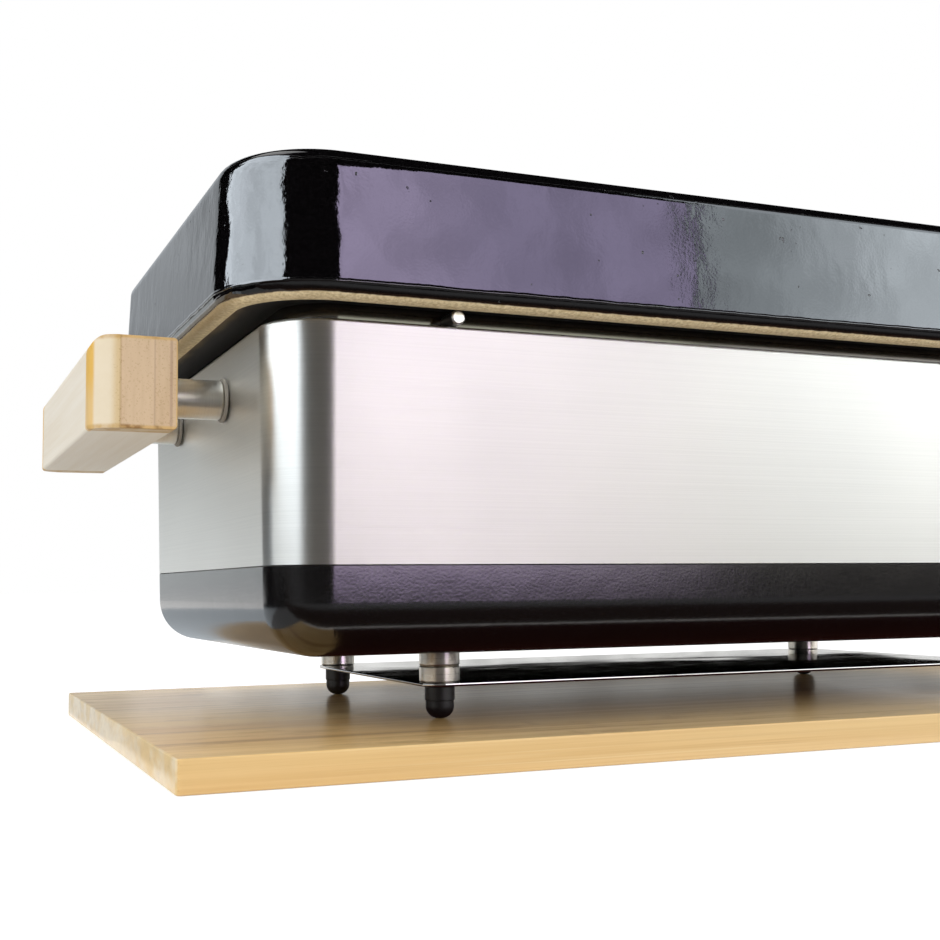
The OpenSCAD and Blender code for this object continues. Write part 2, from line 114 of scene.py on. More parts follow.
def open_piece(name):
    """A new piece at the origin, empty, in edit mode."""
    pick()
    bpy.ops.mesh.primitive_plane_add(size=DOT)
    piece = bpy.context.object
    piece.name = piece.data.name = name
    bpy.ops.object.mode_set(mode="EDIT")
    bpy.ops.mesh.select_mode(type="VERT")
    bpy.ops.mesh.delete(type="VERT")
    return piece


def open_block(name, low, high):
    """A block between two corners, in edit mode."""
    pick()
    bpy.ops.mesh.primitive_cube_add(size=1, location=(low + high) / 2, scale=high - low)
    piece = bpy.context.object
    piece.name = piece.data.name = name
    bpy.ops.object.transform_apply()
    bpy.ops.object.mode_set(mode="EDIT")
    return piece


def reopen(piece):
    pick(piece)
    bpy.ops.object.mode_set(mode="EDIT")


def select_edges(piece, test):
    bpy.ops.mesh.select_mode(type="EDGE")
    bpy.ops.mesh.select_all(action="DESELECT")
    mesh = bmesh.from_edit_mesh(piece.data)
    for edge in mesh.edges:
        edge.select_set(test(edge))
    bmesh.update_edit_mesh(piece.data)


def select_faces(piece, test):
    bpy.ops.mesh.select_mode(type="FACE")
    bpy.ops.mesh.select_all(action="DESELECT")
    mesh = bmesh.from_edit_mesh(piece.data)
    mesh.normal_update()
    for face in mesh.faces:
        face.select_set(test(face))
    bmesh.update_edit_mesh(piece.data)


def upright(edge):
    run = edge.verts[1].co - edge.verts[0].co
    return abs(run.normalized().z) > PLUMB


def sharp(edge):
    return len(edge.link_faces) == 2 and edge.calc_face_angle() > SHARP_ANGLE


def open_at(height):
    """A test for open edges at one height."""
    return lambda edge: edge.is_boundary and all(abs(v.co.z - height) < NEAR for v in edge.verts)


def soften(piece, test, width, steps=3):
    select_edges(piece, test)
    bpy.ops.mesh.bevel(offset=width, segments=steps, affect="EDGES")


def fill(piece, height):
    select_edges(piece, open_at(height))
    bpy.ops.mesh.edge_face_add()


def bridge(piece, height):
    select_edges(piece, open_at(height))
    bpy.ops.mesh.bridge_edge_loops()


def join_seams():
    bpy.ops.mesh.select_mode(type="VERT")
    bpy.ops.mesh.select_all(action="SELECT")
    bpy.ops.mesh.remove_doubles(threshold=SEAM)
    bpy.ops.mesh.dissolve_degenerate(threshold=SEAM)
    bpy.ops.mesh.select_all(action="SELECT")
    bpy.ops.mesh.normals_make_consistent(inside=False)


def spin(centre, axis, turn, steps):
    """Spins the selection. The operator itself turns clockwise for a positive angle."""
    bpy.ops.mesh.spin(steps=steps, angle=-turn, center=centre, axis=axis)


class Pen:
    """Draws lines and arcs in the plane of u and v, by extruding and spinning one vertex."""

    def __init__(self, origin, u, v):
        self.origin, self.u, self.v = Vector(origin), Vector(u), Vector(v)
        self.here = self.first = None

    def point(self, place):
        return self.origin + place[0] * self.u + place[1] * self.v

    def start(self, a, b):
        self.here = self.first = Vector((a, b))
        bpy.ops.mesh.select_mode(type="VERT")
        bpy.ops.mesh.select_all(action="DESELECT")
        bpy.ops.mesh.primitive_plane_add(size=DOT, location=self.point(self.here))
        bpy.ops.mesh.merge(type="CENTER")
        return self

    def line(self, a, b):
        step = self.point((a, b)) - self.point(self.here)
        bpy.ops.mesh.extrude_region_move(TRANSFORM_OT_translate={"value": step})
        self.here = Vector((a, b))
        return self

    def arc(self, a, b, turn, steps=8):
        centre = Vector((a, b))
        spin(self.point(centre), self.u.cross(self.v), turn, steps)
        self.here = centre + Matrix.Rotation(turn, 2) @ (self.here - centre)
        return self

    def close(self):
        self.line(*self.first)
        bpy.ops.mesh.select_linked()
        bpy.ops.mesh.remove_doubles(threshold=SEAM)


def sweep(half_x, half_y, steps=20):
    """Carries the section that holds the selected vertex once round a rectangle of corner centres."""
    bpy.ops.mesh.select_linked()
    for run, x, y in (((0, 2 * half_y, 0), 1, 1), ((-2 * half_x, 0, 0), -1, 1),
                      ((0, -2 * half_y, 0), -1, -1), ((2 * half_x, 0, 0), 1, -1)):
        bpy.ops.mesh.extrude_region_move(TRANSFORM_OT_translate={"value": run})
        spin((x * half_x, y * half_y, 0), UP, QUARTER, steps)


def corner_pen(half_x, half_y):
    """A pen whose first number is the distance out from the corner centres, and the second the height."""
    return Pen((half_x, -half_y, 0), ALONG, UP)


def turn_on_lathe(centre, axis, steps=48):
    bpy.ops.mesh.select_linked()
    spin(centre, axis, 2 * math.pi, steps)
    join_seams()


def extrude_outline(run):
    """Makes a prism of the closed outline that holds the selected vertex."""
    bpy.ops.mesh.select_linked()
    bpy.ops.mesh.edge_face_add()
    bpy.ops.mesh.extrude_region_move(TRANSFORM_OT_translate={"value": run})
    join_seams()


def ring_section(pen, bore, outer, low, high, edge):
    """The closed half section of a ring with rounded outer edges."""
    pen.start(bore, low).line(outer - edge, low).arc(outer - edge, low + edge, QUARTER, 4)
    pen.line(outer, high - edge).arc(outer - edge, high - edge, QUARTER, 4).line(bore, high)
    pen.close()


def apply_modifier(piece, kind, **settings):
    pick(piece)
    modifier = piece.modifiers.new(kind.lower(), kind)
    for key, value in settings.items():
        setattr(modifier, key, value)
    bpy.ops.object.modifier_apply(modifier=modifier.name)


def carve(piece, cutter):
    """Cuts one piece out of another and removes the cutter."""
    apply_modifier(piece, "BOOLEAN", operation="DIFFERENCE", solver="EXACT", object=cutter)
    pick(cutter)
    bpy.ops.object.delete()


def join_pieces(pieces, name):
    pick(*pieces)
    bpy.ops.object.join()
    whole = bpy.context.object
    whole.name = whole.data.name = name
    return whole


def drill(piece, places, radius, length, tilt=(0, 0, 0)):
    """Cuts round holes through a piece, all along one direction."""
    cutters = []
    for place in places:
        pick()
        bpy.ops.mesh.primitive_cylinder_add(vertices=HOLE_SIDES, radius=radius, depth=length,
                                            location=place, rotation=tilt)
        cutters.append(bpy.context.object)
    carve(piece, join_pieces(cutters, "cutter"))


def copy_piece(piece, name, step, turned=False):
    """A copy of a finished piece, moved or turned half round, with its own mesh."""
    pick(piece)
    bpy.ops.object.duplicate(linked=False)
    twin = bpy.context.object
    twin.name = twin.data.name = name
    if turned:
        bpy.ops.transform.rotate(value=math.pi, orient_axis="Z", center_override=(0, 0, 0))
    bpy.ops.transform.translate(value=step)
    bpy.ops.object.transform_apply()
    return twin


def shade(piece, crease=32):
    pick(piece)
    bpy.ops.object.shade_smooth_by_angle(angle=math.radians(crease))
    apply_modifier(piece, "WEIGHTED_NORMAL", keep_sharp=True, weight=FACE_WEIGHT)


def row_of_blocks(name, low, high, edge, count, step):
    """A row of equal blocks. The first lies between two corners, and each next one a step further on."""
    row = open_block(name, low, high)
    soften(row, sharp, edge, 2)
    apply_modifier(row, "ARRAY", count=count, use_relative_offset=False, use_constant_offset=True,
                   constant_offset_displace=step)
    shade(row)
    return row


def paint(piece, number, test):
    """Gives the faces whose middles pass a test one of the piece's finishes."""
    reopen(piece)
    select_faces(piece, lambda face: test(face.calc_center_median()))
    piece.active_material_index = number
    bpy.ops.object.material_slot_assign()


def settle(piece, body, slot, finish, *nodes):
    """Gives a shaded piece its finish and puts it on its body in place of CAD nodes."""
    if not piece.data.materials:
        piece.data.materials.append(finish)
    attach(piece, body)
    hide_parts(*nodes)


def middle(node):
    low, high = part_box(node)
    return (low + high) / 2


def repeat_at_corners(piece, kind, body, slot, finish):
    """Copies the piece of the first corner to the other three and settles all four."""
    first = middle(f"{kind}_{CORNERS[0]}")
    for corner in CORNERS[1:]:
        node = f"{kind}_{corner}"
        twin = copy_piece(piece, f"{kind}.{corner}", middle(node) - first)
        settle(twin, body, slot, finish, node)
    settle(piece, body, slot, finish, f"{kind}_{CORNERS[0]}")


# Shader expressions

class Wire:
    """A shader socket for use in Python expressions."""

    def __init__(self, finish, socket):
        self.finish, self.socket = finish, socket

    def math(self, operation, first, second=0.0):
        return self.finish.node("ShaderNodeMath", {"operation": operation}, {0: first, 1: second})

    def __add__(self, other):
        return self.math("ADD", self, other)

    def __sub__(self, other):
        return self.math("SUBTRACT", self, other)

    def __rsub__(self, other):
        return self.math("SUBTRACT", other, self)

    def __mul__(self, other):
        return self.math("MULTIPLY", self, other)

    def __truediv__(self, other):
        return self.math("DIVIDE", self, other)

    def __abs__(self):
        return self.math("ABSOLUTE", self)

    def __floor__(self):
        return self.math("FLOOR", self)

    def fraction(self):
        return self.math("FRACT", self)

    def least(self, other):
        return self.math("MINIMUM", self, other)

    def most(self, other):
        return self.math("MAXIMUM", self, other)

    __radd__ = __add__
    __rmul__ = __mul__


def rgb(red, green, blue):
    return (red, green, blue, 1.0)


class Finish:
    """The shader tree of a material or the world, with the shader that the patterns feed."""

    def __init__(self, name, settings, world=False):
        self.block = (bpy.data.worlds if world else bpy.data.materials).new(name)
        self.block.use_nodes = True
        self.tree = self.block.node_tree
        self.shader = self.tree.nodes["Background" if world else "Principled BSDF"]
        for socket, value in settings.items():
            self.shader.inputs[socket].default_value = value

    def node(self, kind, settings, sockets, out=0):
        node = self.tree.nodes.new(kind)
        for key, value in settings.items():
            setattr(node, key, value)
        for key, value in sockets.items():
            if isinstance(value, Wire):
                self.tree.links.new(value.socket, node.inputs[key])
            else:
                node.inputs[key].default_value = value
        return Wire(self, node.outputs[out])

    def feed(self, socket, wire):
        self.tree.links.new(wire.socket, self.shader.inputs[socket])

    def done(self, colour, rough, relief):
        """Feeds the three sockets that every finish of the part has, and gives the material."""
        self.feed("Base Color", colour)
        self.feed("Roughness", rough)
        self.feed("Normal", relief)
        return self.block

    def place(self):
        return self.node("ShaderNodeTexCoord", {}, {}, out="Object")

    def axes(self):
        place = self.place()
        return [self.node("ShaderNodeSeparateXYZ", {}, {0: place}, out=i) for i in range(3)]

    def noise(self, scale, detail=3.0, rough=0.5):
        """Noise with one scale, or with one for each axis."""
        scale = scale if isinstance(scale, tuple) else (scale, scale, scale)
        place = self.node("ShaderNodeMapping", {}, {"Vector": self.place(), "Scale": scale})
        sockets = {"Vector": place, "Scale": 1.0, "Detail": detail, "Roughness": rough}
        return self.node("ShaderNodeTexNoise", {}, sockets)

    def chance(self, number):
        return self.node("ShaderNodeTexWhiteNoise", {"noise_dimensions": "1D"}, {"W": number})

    def rise(self, value, low, high):
        sockets = {"Value": value, "From Min": low, "From Max": high}
        return self.node("ShaderNodeMapRange", {"interpolation_type": "SMOOTHSTEP"}, sockets)

    def mix(self, share, first, second):
        return self.node("ShaderNodeMix", {"data_type": "RGBA"}, {0: share, 6: first, 7: second}, out=2)

    def bump(self, height, depth, below=None):
        sockets = {"Height": height, "Distance": depth, "Strength": 1.0}
        if below:
            sockets["Normal"] = below
        return self.node("ShaderNodeBump", {}, sockets)


# Finishes

BOARD_STRIP = 0.0205
STRIP_SHIFT = 40.37
KNUCKLE_PITCH = 0.27
SKIN_CUT = 0.0107  # the SKIN values are depths in from a handle bar's outer face
SKIN_GLUE = 0.0233
SKIN_DARK = 0.0295
SKIN_BACK = 0.0325
GLAZE_IOR = 1.9


def bamboo_board(high):
    """Strips along the board with fibre streaks, faint knuckles and stains on top, painted shade that
    darkens the wood under the grill, mottled end grain and an uneven varnish. The point high is the board's
    upper corner."""
    f = Finish("board_bamboo", {"Specular IOR Level": 0.2, "Coat Roughness": 0.22, "Coat IOR": 1.5})
    x, y, z = f.axes()
    on_top = f.rise(z, high.z - 0.0007, high.z - 0.0001)
    strip = y / BOARD_STRIP + STRIP_SHIFT
    tone = f.chance(math.floor(strip))
    fibre = f.noise((7, 620, 620), detail=5, rough=0.6)
    streak = f.noise((2.6, 120, 230), detail=4, rough=0.6)
    flame = f.noise((7, 40, 60))
    knot_place = (x / KNUCKLE_PITCH + tone * 7.3).fraction()
    knuckle = (1 - f.rise(abs(knot_place - 0.5), 0.002, 0.012)) * on_top
    age = f.rise(tone * 0.3 + fibre * 0.45 + streak * 0.9 - 0.4, 0.05, 0.9)
    wood = f.mix(age, rgb(0.95, 0.66, 0.30), rgb(0.68, 0.39, 0.13))
    wood = f.mix(f.rise(flame, 0.52, 0.75) * 0.3, wood, rgb(0.92, 0.66, 0.32))
    wood = f.mix(f.rise(streak, 0.60, 0.72) * 0.6, wood, rgb(0.40, 0.20, 0.06))
    wood = f.mix(knuckle * f.rise(flame, 0.4, 0.7) * 0.3, wood, rgb(0.34, 0.18, 0.07))
    stain = f.rise(f.noise((26, 75, 75), detail=5, rough=0.7), 0.5, 0.66)
    wood = f.mix(stain * on_top * 0.45, wood, rgb(0.44, 0.23, 0.06))
    # Painted shade: the wood's colour is darkened under the grill, where the pan shades the board.
    painted_grill_shade = f.rise(0.16 - abs(y) - 0.05 * streak, 0.01, 0.06)
    painted_grill_shade = painted_grill_shade * f.rise(0.26 - abs(x) - 0.06 * flame, 0.01, 0.10) * on_top
    wood = f.mix(painted_grill_shade * 0.55, wood, rgb(0.40, 0.22, 0.07))
    seam = f.rise(abs(strip.fraction() - 0.5), 0.488, 0.499)
    wood = f.mix(seam * 0.3, wood, rgb(0.40, 0.23, 0.09))
    hair = f.noise((4, 1000, 1000), detail=4, rough=0.7)
    wood = f.mix(f.rise(hair, 0.52, 0.72) * 0.4, wood, rgb(0.62, 0.33, 0.09))
    wood = f.mix((1 - f.rise(hair, 0.32, 0.46)) * 0.45, wood, rgb(0.99, 0.76, 0.40))
    wood = f.mix(f.rise(x, -0.22, 0.05) * 0.3, wood, rgb(1.0, 0.78, 0.44))
    at_end = f.rise(abs(x), high.x - 0.0008, high.x - 0.0003)
    mottle = f.noise((60, 60, 120))
    cut = f.mix(f.rise(mottle, 0.38, 0.64), rgb(0.98, 0.85, 0.62), rgb(0.89, 0.67, 0.33))
    varnish = f.rise(y, -0.12, 0.08).most(f.rise(x, -0.2, -0.12))
    f.feed("Coat Weight", 0.15 + 0.5 * streak + 0.4 * varnish)
    return f.done(f.mix(at_end * 0.75, wood, cut),
                  0.42 + 0.2 * fibre, f.bump(fibre + 0.6 * streak, 0.00005))


def bamboo_handle(low, high):
    """Pale laminated bamboo, tan on its end grain, with a toasted skin on the rounded corners. The points
    low and high are the right bar's corners, and skin is the distance in from the bar's outer face."""
    f = Finish("handle_bamboo", {"Specular IOR Level": 0.4})
    x, y, z = f.axes()
    fibre = f.noise((420, 9, 420), detail=5, rough=0.6)
    streak = f.noise((90, 3.4, 90))
    specks = f.rise(f.noise(1500, detail=2), 0.56, 0.72)
    patch = f.rise(f.noise(170), 0.42, 0.62)
    skin = high.x - abs(x)
    end = high.y - abs(y)
    top = high.z - z
    foot = z - low.z
    at_end = 1 - f.rise(end, 0.0003, 0.0009)
    age = f.rise(fibre * 0.6 + streak * 0.6 - 0.2, 0.1, 0.8)
    colour = f.mix(age, rgb(0.96, 0.90, 0.79), rgb(0.86, 0.77, 0.62))

    cut = 1 - f.rise(end, 0.0112, 0.0120)
    colour = f.mix(cut * 0.75, colour, rgb(0.84, 0.71, 0.50))
    toasted = (1 - f.rise(end, 0.0146, 0.0152)) * (1 - f.rise(skin, 0.0012, 0.0022))
    colour = f.mix(toasted * (1 - 0.3 * f.rise(top, 0.012, 0.027)), colour, rgb(0.81, 0.49, 0.10))
    tanned = f.rise(skin, 0.0066, 0.0098) * (1 - f.rise(end, 0.0016, 0.0034))
    colour = f.mix(tanned * 0.75, colour, rgb(0.72, 0.52, 0.25))
    colour = f.mix(tanned * specks * 0.4, colour, rgb(0.45, 0.28, 0.10))
    border = 1 - f.rise(top.least(foot), 0.0008, 0.0022)
    colour = f.mix(cut * border * (0.45 + 0.4 * patch), colour, rgb(0.60, 0.36, 0.10))

    grain = f.noise((420, 60, 45))
    inner = f.rise(skin, SKIN_GLUE - 0.0002, SKIN_GLUE + 0.0002)
    age = f.rise(specks * 0.3 + grain * 0.6 + inner * 0.12, 0.2, 0.8)
    tan = f.mix(age, rgb(0.74, 0.55, 0.36), rgb(0.58, 0.40, 0.23))
    glue = (1 - f.rise(abs(skin - SKIN_GLUE), 0.0001, 0.0005)) * 0.3
    dark = (1 - f.rise(abs(skin - SKIN_DARK), 0.0003, 0.0007)) * 0.4
    tan = f.mix(glue + dark, tan, rgb(0.36, 0.20, 0.16))
    edge = 1 - f.rise(top.least(foot).least(SKIN_BACK - skin), 0.0007, 0.0016)
    tan = f.mix(edge * 0.7, tan, rgb(0.72, 0.45, 0.14))
    tan = f.mix((1 - f.rise(foot, 0.0008, 0.0019)) * patch * 0.9, tan, rgb(0.28, 0.14, 0.045))
    tan = f.mix((1 - f.rise(top, 0.0006, 0.0013)) * patch * 0.5, tan, rgb(0.40, 0.22, 0.07))
    colour = f.mix(at_end * f.rise(skin, SKIN_CUT - 0.0002, SKIN_CUT + 0.0002), colour, tan)
    arris = at_end * (1 - f.rise(abs(skin - SKIN_CUT), 0.0002, 0.0006))
    colour = f.mix(arris * (0.35 + 0.4 * specks), colour, rgb(0.40, 0.23, 0.09))
    return f.done(colour, 0.46 + 0.16 * fibre, f.bump(fibre + streak * 0.5, 0.00006))


def brushed_steel(name, colour, dull, grain, depth, brush=0.0, spread=0.12, metal=1.0):
    """Steel with fine lines: the grain's scale is low along the lines and high across them."""
    f = Finish(name, {"Metallic": metal, "Anisotropic": brush, "Anisotropic Rotation": 0.25})
    lines = f.noise(grain, detail=4, rough=0.65)
    cloud = f.noise(14, detail=2)
    bright = rgb(*colour)
    dim = rgb(*(0.93 * part for part in colour))
    return f.done(f.mix(f.rise(lines, 0.3, 0.7), dim, bright),
                  dull + (lines - 0.5) * spread + (cloud - 0.5) * 0.06, f.bump(lines, depth))


def mirror_steel():
    """Polished sheet that is not quite flat and reflects as if it rose a little towards the rear."""
    f = Finish("polished_steel", {"Metallic": 1.0})
    y = f.axes()[1]
    wave = f.noise((11, 15, 15), detail=1)
    wipe = f.noise((60, 240, 60))
    return f.done(f.mix(wipe, rgb(0.60, 0.60, 0.61), rgb(0.68, 0.68, 0.68)),
                  0.05 + 0.09 * f.rise(wipe, 0.4, 0.8), f.bump(0.0012 * wave + 0.045 * y, 1.0))


def black_enamel():
    """Stove enamel with a fine orange-peel skin."""
    f = Finish("black_enamel", {"IOR": GLAZE_IOR})
    peel = f.noise(900, detail=2)
    sway = f.noise(38, detail=2)
    speck = f.rise(f.noise(1500, detail=1), 0.66, 0.8)
    return f.done(f.mix(speck, rgb(0.0025, 0.002, 0.0022), rgb(0.02, 0.018, 0.02)),
                  0.11 + 0.1 * peel, f.bump(peel, 0.000022, f.bump(sway, 0.00012)))


def matt_primer():
    """The dull black coat under the pan."""
    f = Finish("matt_primer", {"Specular IOR Level": 0.0})
    grain = f.noise(700)
    return f.done(f.mix(grain, rgb(0.004, 0.0035, 0.0035), rgb(0.012, 0.011, 0.011)),
                  0.8 + 0.15 * grain, f.bump(grain, 0.00006))


def rim_glaze(rim):
    """Thick gloss glaze, uneven and pitted, that ends over a ring of bare clay. The point rim gives the
    outer corner at the height where the glaze ends."""
    f = Finish("black_glaze", {"IOR": GLAZE_IOR})
    x, y, z = f.axes()
    sway = f.noise((62, 62, 40), detail=2)
    ripple = f.noise(900, detail=2)
    runs = f.noise((80, 80, 55), detail=4, rough=0.6)
    spots = f.noise(300, detail=1)
    fields = f.rise(f.noise(38, detail=2), 0.45, 0.62)
    pits = f.rise(spots, 0.765, 0.79) * fields
    black = f.mix(f.rise(ripple, 0.3, 0.8), rgb(0.0016, 0.0013, 0.0016), rgb(0.004, 0.0035, 0.004))
    dull = 0.045 + 0.05 * f.rise(ripple, 0.4, 0.9) + 0.4 * pits
    ends = f.rise(abs(x), rim.x - 0.006, rim.x - 0.003)
    relief = f.bump(runs * (0.06 + 2.4 * ends), 0.00011)
    relief = f.bump(sway * (1 + ends), 0.00012, relief)
    relief = f.bump(ripple, 0.000012, relief)
    relief = f.bump(1 - pits, 0.0004, relief)

    # Lumps and drips at the rounded corners
    corner = f.rise(abs(x), rim.x - 0.046, rim.x - 0.03) * f.rise(abs(y), rim.y - 0.044, rim.y - 0.028)
    corner = corner * (1 - f.rise(z, rim.z + 0.046, rim.z + 0.051))
    lumps = f.noise((85, 85, 60), detail=1.5, rough=0.4)
    relief = f.bump((lumps - 0.5) * corner, 0.0008, relief)
    ragged = f.noise((400, 400, 330), rough=0.6)
    relief = f.bump(ragged * corner, 0.00007, relief)

    # A fold above the foot, and a brow above which the face leans back
    fold = abs(z - 0.0012 * f.noise(110) - (rim.z + RIM_FOOT - GLAZE_END - 0.0010))
    relief = f.bump(1 - f.rise(fold, 0.0, 0.0009), 0.00024, relief)
    brow = rim.z - GLAZE_END + RIM_HEIGHT - 0.0068
    brow = brow + 0.0016 * f.rise(x, -0.21, -0.17) + 0.0052 * f.rise(x, -0.17, 0.0)
    over = (z + 0.0018 * f.noise(105) - 0.0002 - brow).most(0.0).least(0.003)
    relief = f.bump(over * over * -22.0, 1.0, relief)

    # The wavy end of the glaze and the bare ring
    level = z - 0.0007 * f.noise(260, detail=4, rough=0.6)
    bare = 1 - f.rise(level, rim.z - 0.0005, rim.z - 0.0001)
    stain = 1 - f.rise(level, rim.z - 0.0003, rim.z + 0.0007)
    grit = f.noise(700, rough=0.6)
    clay = f.mix(f.rise(grit, 0.3, 0.75), rgb(0.90, 0.74, 0.46), rgb(0.58, 0.43, 0.21))
    # Painted shade: the bare clay ring is darkened towards the ends of the rim.
    clay = f.mix(f.rise(abs(x), rim.x - 0.008, rim.x - 0.003) * 0.7, clay, rgb(0.36, 0.25, 0.11))
    black = f.mix(stain, black, rgb(0.03, 0.014, 0.006))
    return f.done(f.mix(bare, black, clay), dull + 0.8 * bare, relief)


def trough_glaze(rim):
    """The outside of the trough: brown clay behind the bare ring, gloss black further in."""
    f = Finish("trough_glaze", {"IOR": GLAZE_IOR})
    x, y = f.axes()[:2]
    grain = f.noise(520, detail=5, rough=0.7)
    cloud = f.noise(45)
    inward = (rim.x - abs(x)).least(rim.y - abs(y)) + 0.006 * cloud
    brown = f.mix(grain, rgb(0.26, 0.18, 0.085), rgb(0.16, 0.105, 0.045))
    black = f.mix(grain, rgb(0.012, 0.008, 0.005), rgb(0.005, 0.004, 0.003))
    glazed = f.rise(inward, 0.012, 0.019)
    facing = f.node("ShaderNodeNewGeometry", {}, {}, out="Normal")
    facing_up = abs(f.node("ShaderNodeSeparateXYZ", {}, {0: facing}, out=2))
    gloss = glazed * (1 - f.rise(facing_up, 0.3, 0.6))
    return f.done(f.mix(glazed, brown, black),
                  0.9 - 0.8 * gloss, f.bump(grain * (1 - 0.98 * gloss), 0.0004))


def bare_clay():
    """The unglazed body: pale, grainy and dry."""
    f = Finish("bare_clay", {"Specular IOR Level": 0.2})
    grain = f.noise(520, detail=5, rough=0.7)
    cloud = f.noise(22)
    soot = f.rise(f.noise(60, detail=4), 0.5, 0.8)
    clay = f.mix(f.rise(grain * 0.6 + cloud * 0.5, 0.3, 0.8), rgb(0.66, 0.53, 0.35), rgb(0.47, 0.35, 0.20))
    return f.done(f.mix(soot * 0.35, clay, rgb(0.24, 0.18, 0.12)),
                  0.84 + 0.12 * grain, f.bump(grain, 0.0004))


def moulded_rubber():
    f = Finish("foot_rubber", {"Specular IOR Level": 0.7})
    skin = f.noise(900)
    dust = f.rise(f.noise(130), 0.5, 0.8)
    return f.done(f.mix(dust * 0.5, rgb(0.008, 0.008, 0.009), rgb(0.03, 0.029, 0.03)),
                  0.34 + 0.2 * skin, f.bump(skin, 0.00008))


def dark_iron():
    """Cast bars with heat scale and a little rust."""
    f = Finish("dark_iron", {"Metallic": 0.55})
    scale = f.noise(260, detail=5, rough=0.65)
    rust = f.rise(f.noise(48, detail=4), 0.52, 0.75)
    iron = f.mix(f.rise(scale, 0.3, 0.75), rgb(0.035, 0.034, 0.034), rgb(0.11, 0.105, 0.10))
    return f.done(f.mix(rust * 0.4, iron, rgb(0.14, 0.075, 0.04)),
                  0.55 + 0.3 * scale, f.bump(scale, 0.0003))


def pale_collar():
    f = Finish("pale_collar", {"Specular IOR Level": 0.4})
    fibre = f.noise(380)
    return f.done(f.mix(fibre, rgb(0.42, 0.39, 0.34), rgb(0.27, 0.245, 0.21)),
                  0.55 + 0.2 * fibre, f.bump(fibre, 0.00008))


# Board

BOARD_CORNER = 0.002
BOARD_ARRIS = 0.0007


def make_board(finish):
    low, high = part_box("base_board")
    board = open_block("bamboo_board", low, high)
    soften(board, upright, BOARD_CORNER, 5)
    soften(board, sharp, BOARD_ARRIS, 3)
    shade(board)
    settle(board, "board", "board_bamboo", finish, "base_board")


# Feet, shield, spacers and other rings

FOOT_TIP = 0.0052
FOOT_STEP = 0.00035
FOOT_SLEEVE = 0.0058
FOOT_EDGE = 0.0006
SHIELD_CORNER = 0.0094
SHIELD_EDGE = 0.00045
SPACER_BORE = 0.00325
SPACER_EDGE = 0.0008
SHIELD_DRILL = 0.05


def make_feet(finish):
    """A straight moulded sleeve above a domed tip, with a small step between them."""
    node = f"rubber_foot_{CORNERS[0]}"
    low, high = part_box(node)
    radius = (high.x - low.x) / 2
    centre = middle(node)
    foot = open_piece("rubber_foot." + CORNERS[0])
    pen = Pen((centre.x, centre.y, 0), ALONG, UP)
    inner = radius - FOOT_STEP
    step = high.z - FOOT_SLEEVE
    pen.start(0, low.z).line(inner - FOOT_TIP, low.z).arc(inner - FOOT_TIP, low.z + FOOT_TIP, QUARTER, 10)
    pen.line(inner, step - FOOT_STEP).line(radius, step).line(radius, high.z - FOOT_EDGE)
    pen.arc(radius - FOOT_EDGE, high.z - FOOT_EDGE, QUARTER, 4).line(0, high.z)
    turn_on_lathe((centre.x, centre.y, 0), UP)
    shade(foot)
    repeat_at_corners(foot, "rubber_foot", "casing", "foot_rubber", finish)


def make_rings(kind, axis, across, bore, edge, slot, finish):
    """Turned rings or sleeves, one at each corner. The direction across is square to their axis."""
    node = f"{kind}_{CORNERS[0]}"
    low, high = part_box(node)
    centre = middle(node)
    foot = centre - axis * centre.dot(axis)
    ring = open_piece(f"{kind}.{CORNERS[0]}")
    pen = Pen(foot, across, axis)
    ring_section(pen, bore, (high - low).dot(across) / 2, low.dot(axis), high.dot(axis), edge)
    turn_on_lathe(foot, axis)
    shade(ring)
    repeat_at_corners(ring, kind, "casing", slot, finish)


def make_shield(finish):
    low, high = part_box("heat_shield")
    shield = open_block("heat_shield_plate", low, high)
    soften(shield, upright, SHIELD_CORNER, 10)
    soften(shield, sharp, SHIELD_EDGE, 2)
    studs = [middle(f"lower_spacer_{corner}") for corner in CORNERS]
    drill(shield, studs, SPACER_BORE, SHIELD_DRILL)
    shade(shield)
    settle(shield, "casing", "polished_steel", finish, "heat_shield")


# Pan and jacket

CASE_CORNER = 0.024
CASE_DRAW = 0.0017
JACKET_SHEET = 0.0012
JACKET_BEND = 0.0016
JACKET_FLANGE = 0.0062
PAN_SHEET = 0.0016
PAN_ROUND = 0.0206
PAN_ARRIS = 0.0005
PAN_SHOULDER = 0.003
PAN_LIP_GAP = 0.0001
PAN_VENT = 0.007
VENT_DRILL = 0.02
STUD_DRILL = 0.006
BOLT_BORE = 0.0028
BOLT_DRILL = 0.03
VENT_PITCH = 0.078
VENTS = range(-2, 3)


def case_radius(height):
    """How far the casing's face lies out from its corner centres at a height."""
    low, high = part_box("steel_jacket")
    head = high.z - JACKET_BEND
    return CASE_CORNER - CASE_DRAW * (head - height) / (head - low.z)


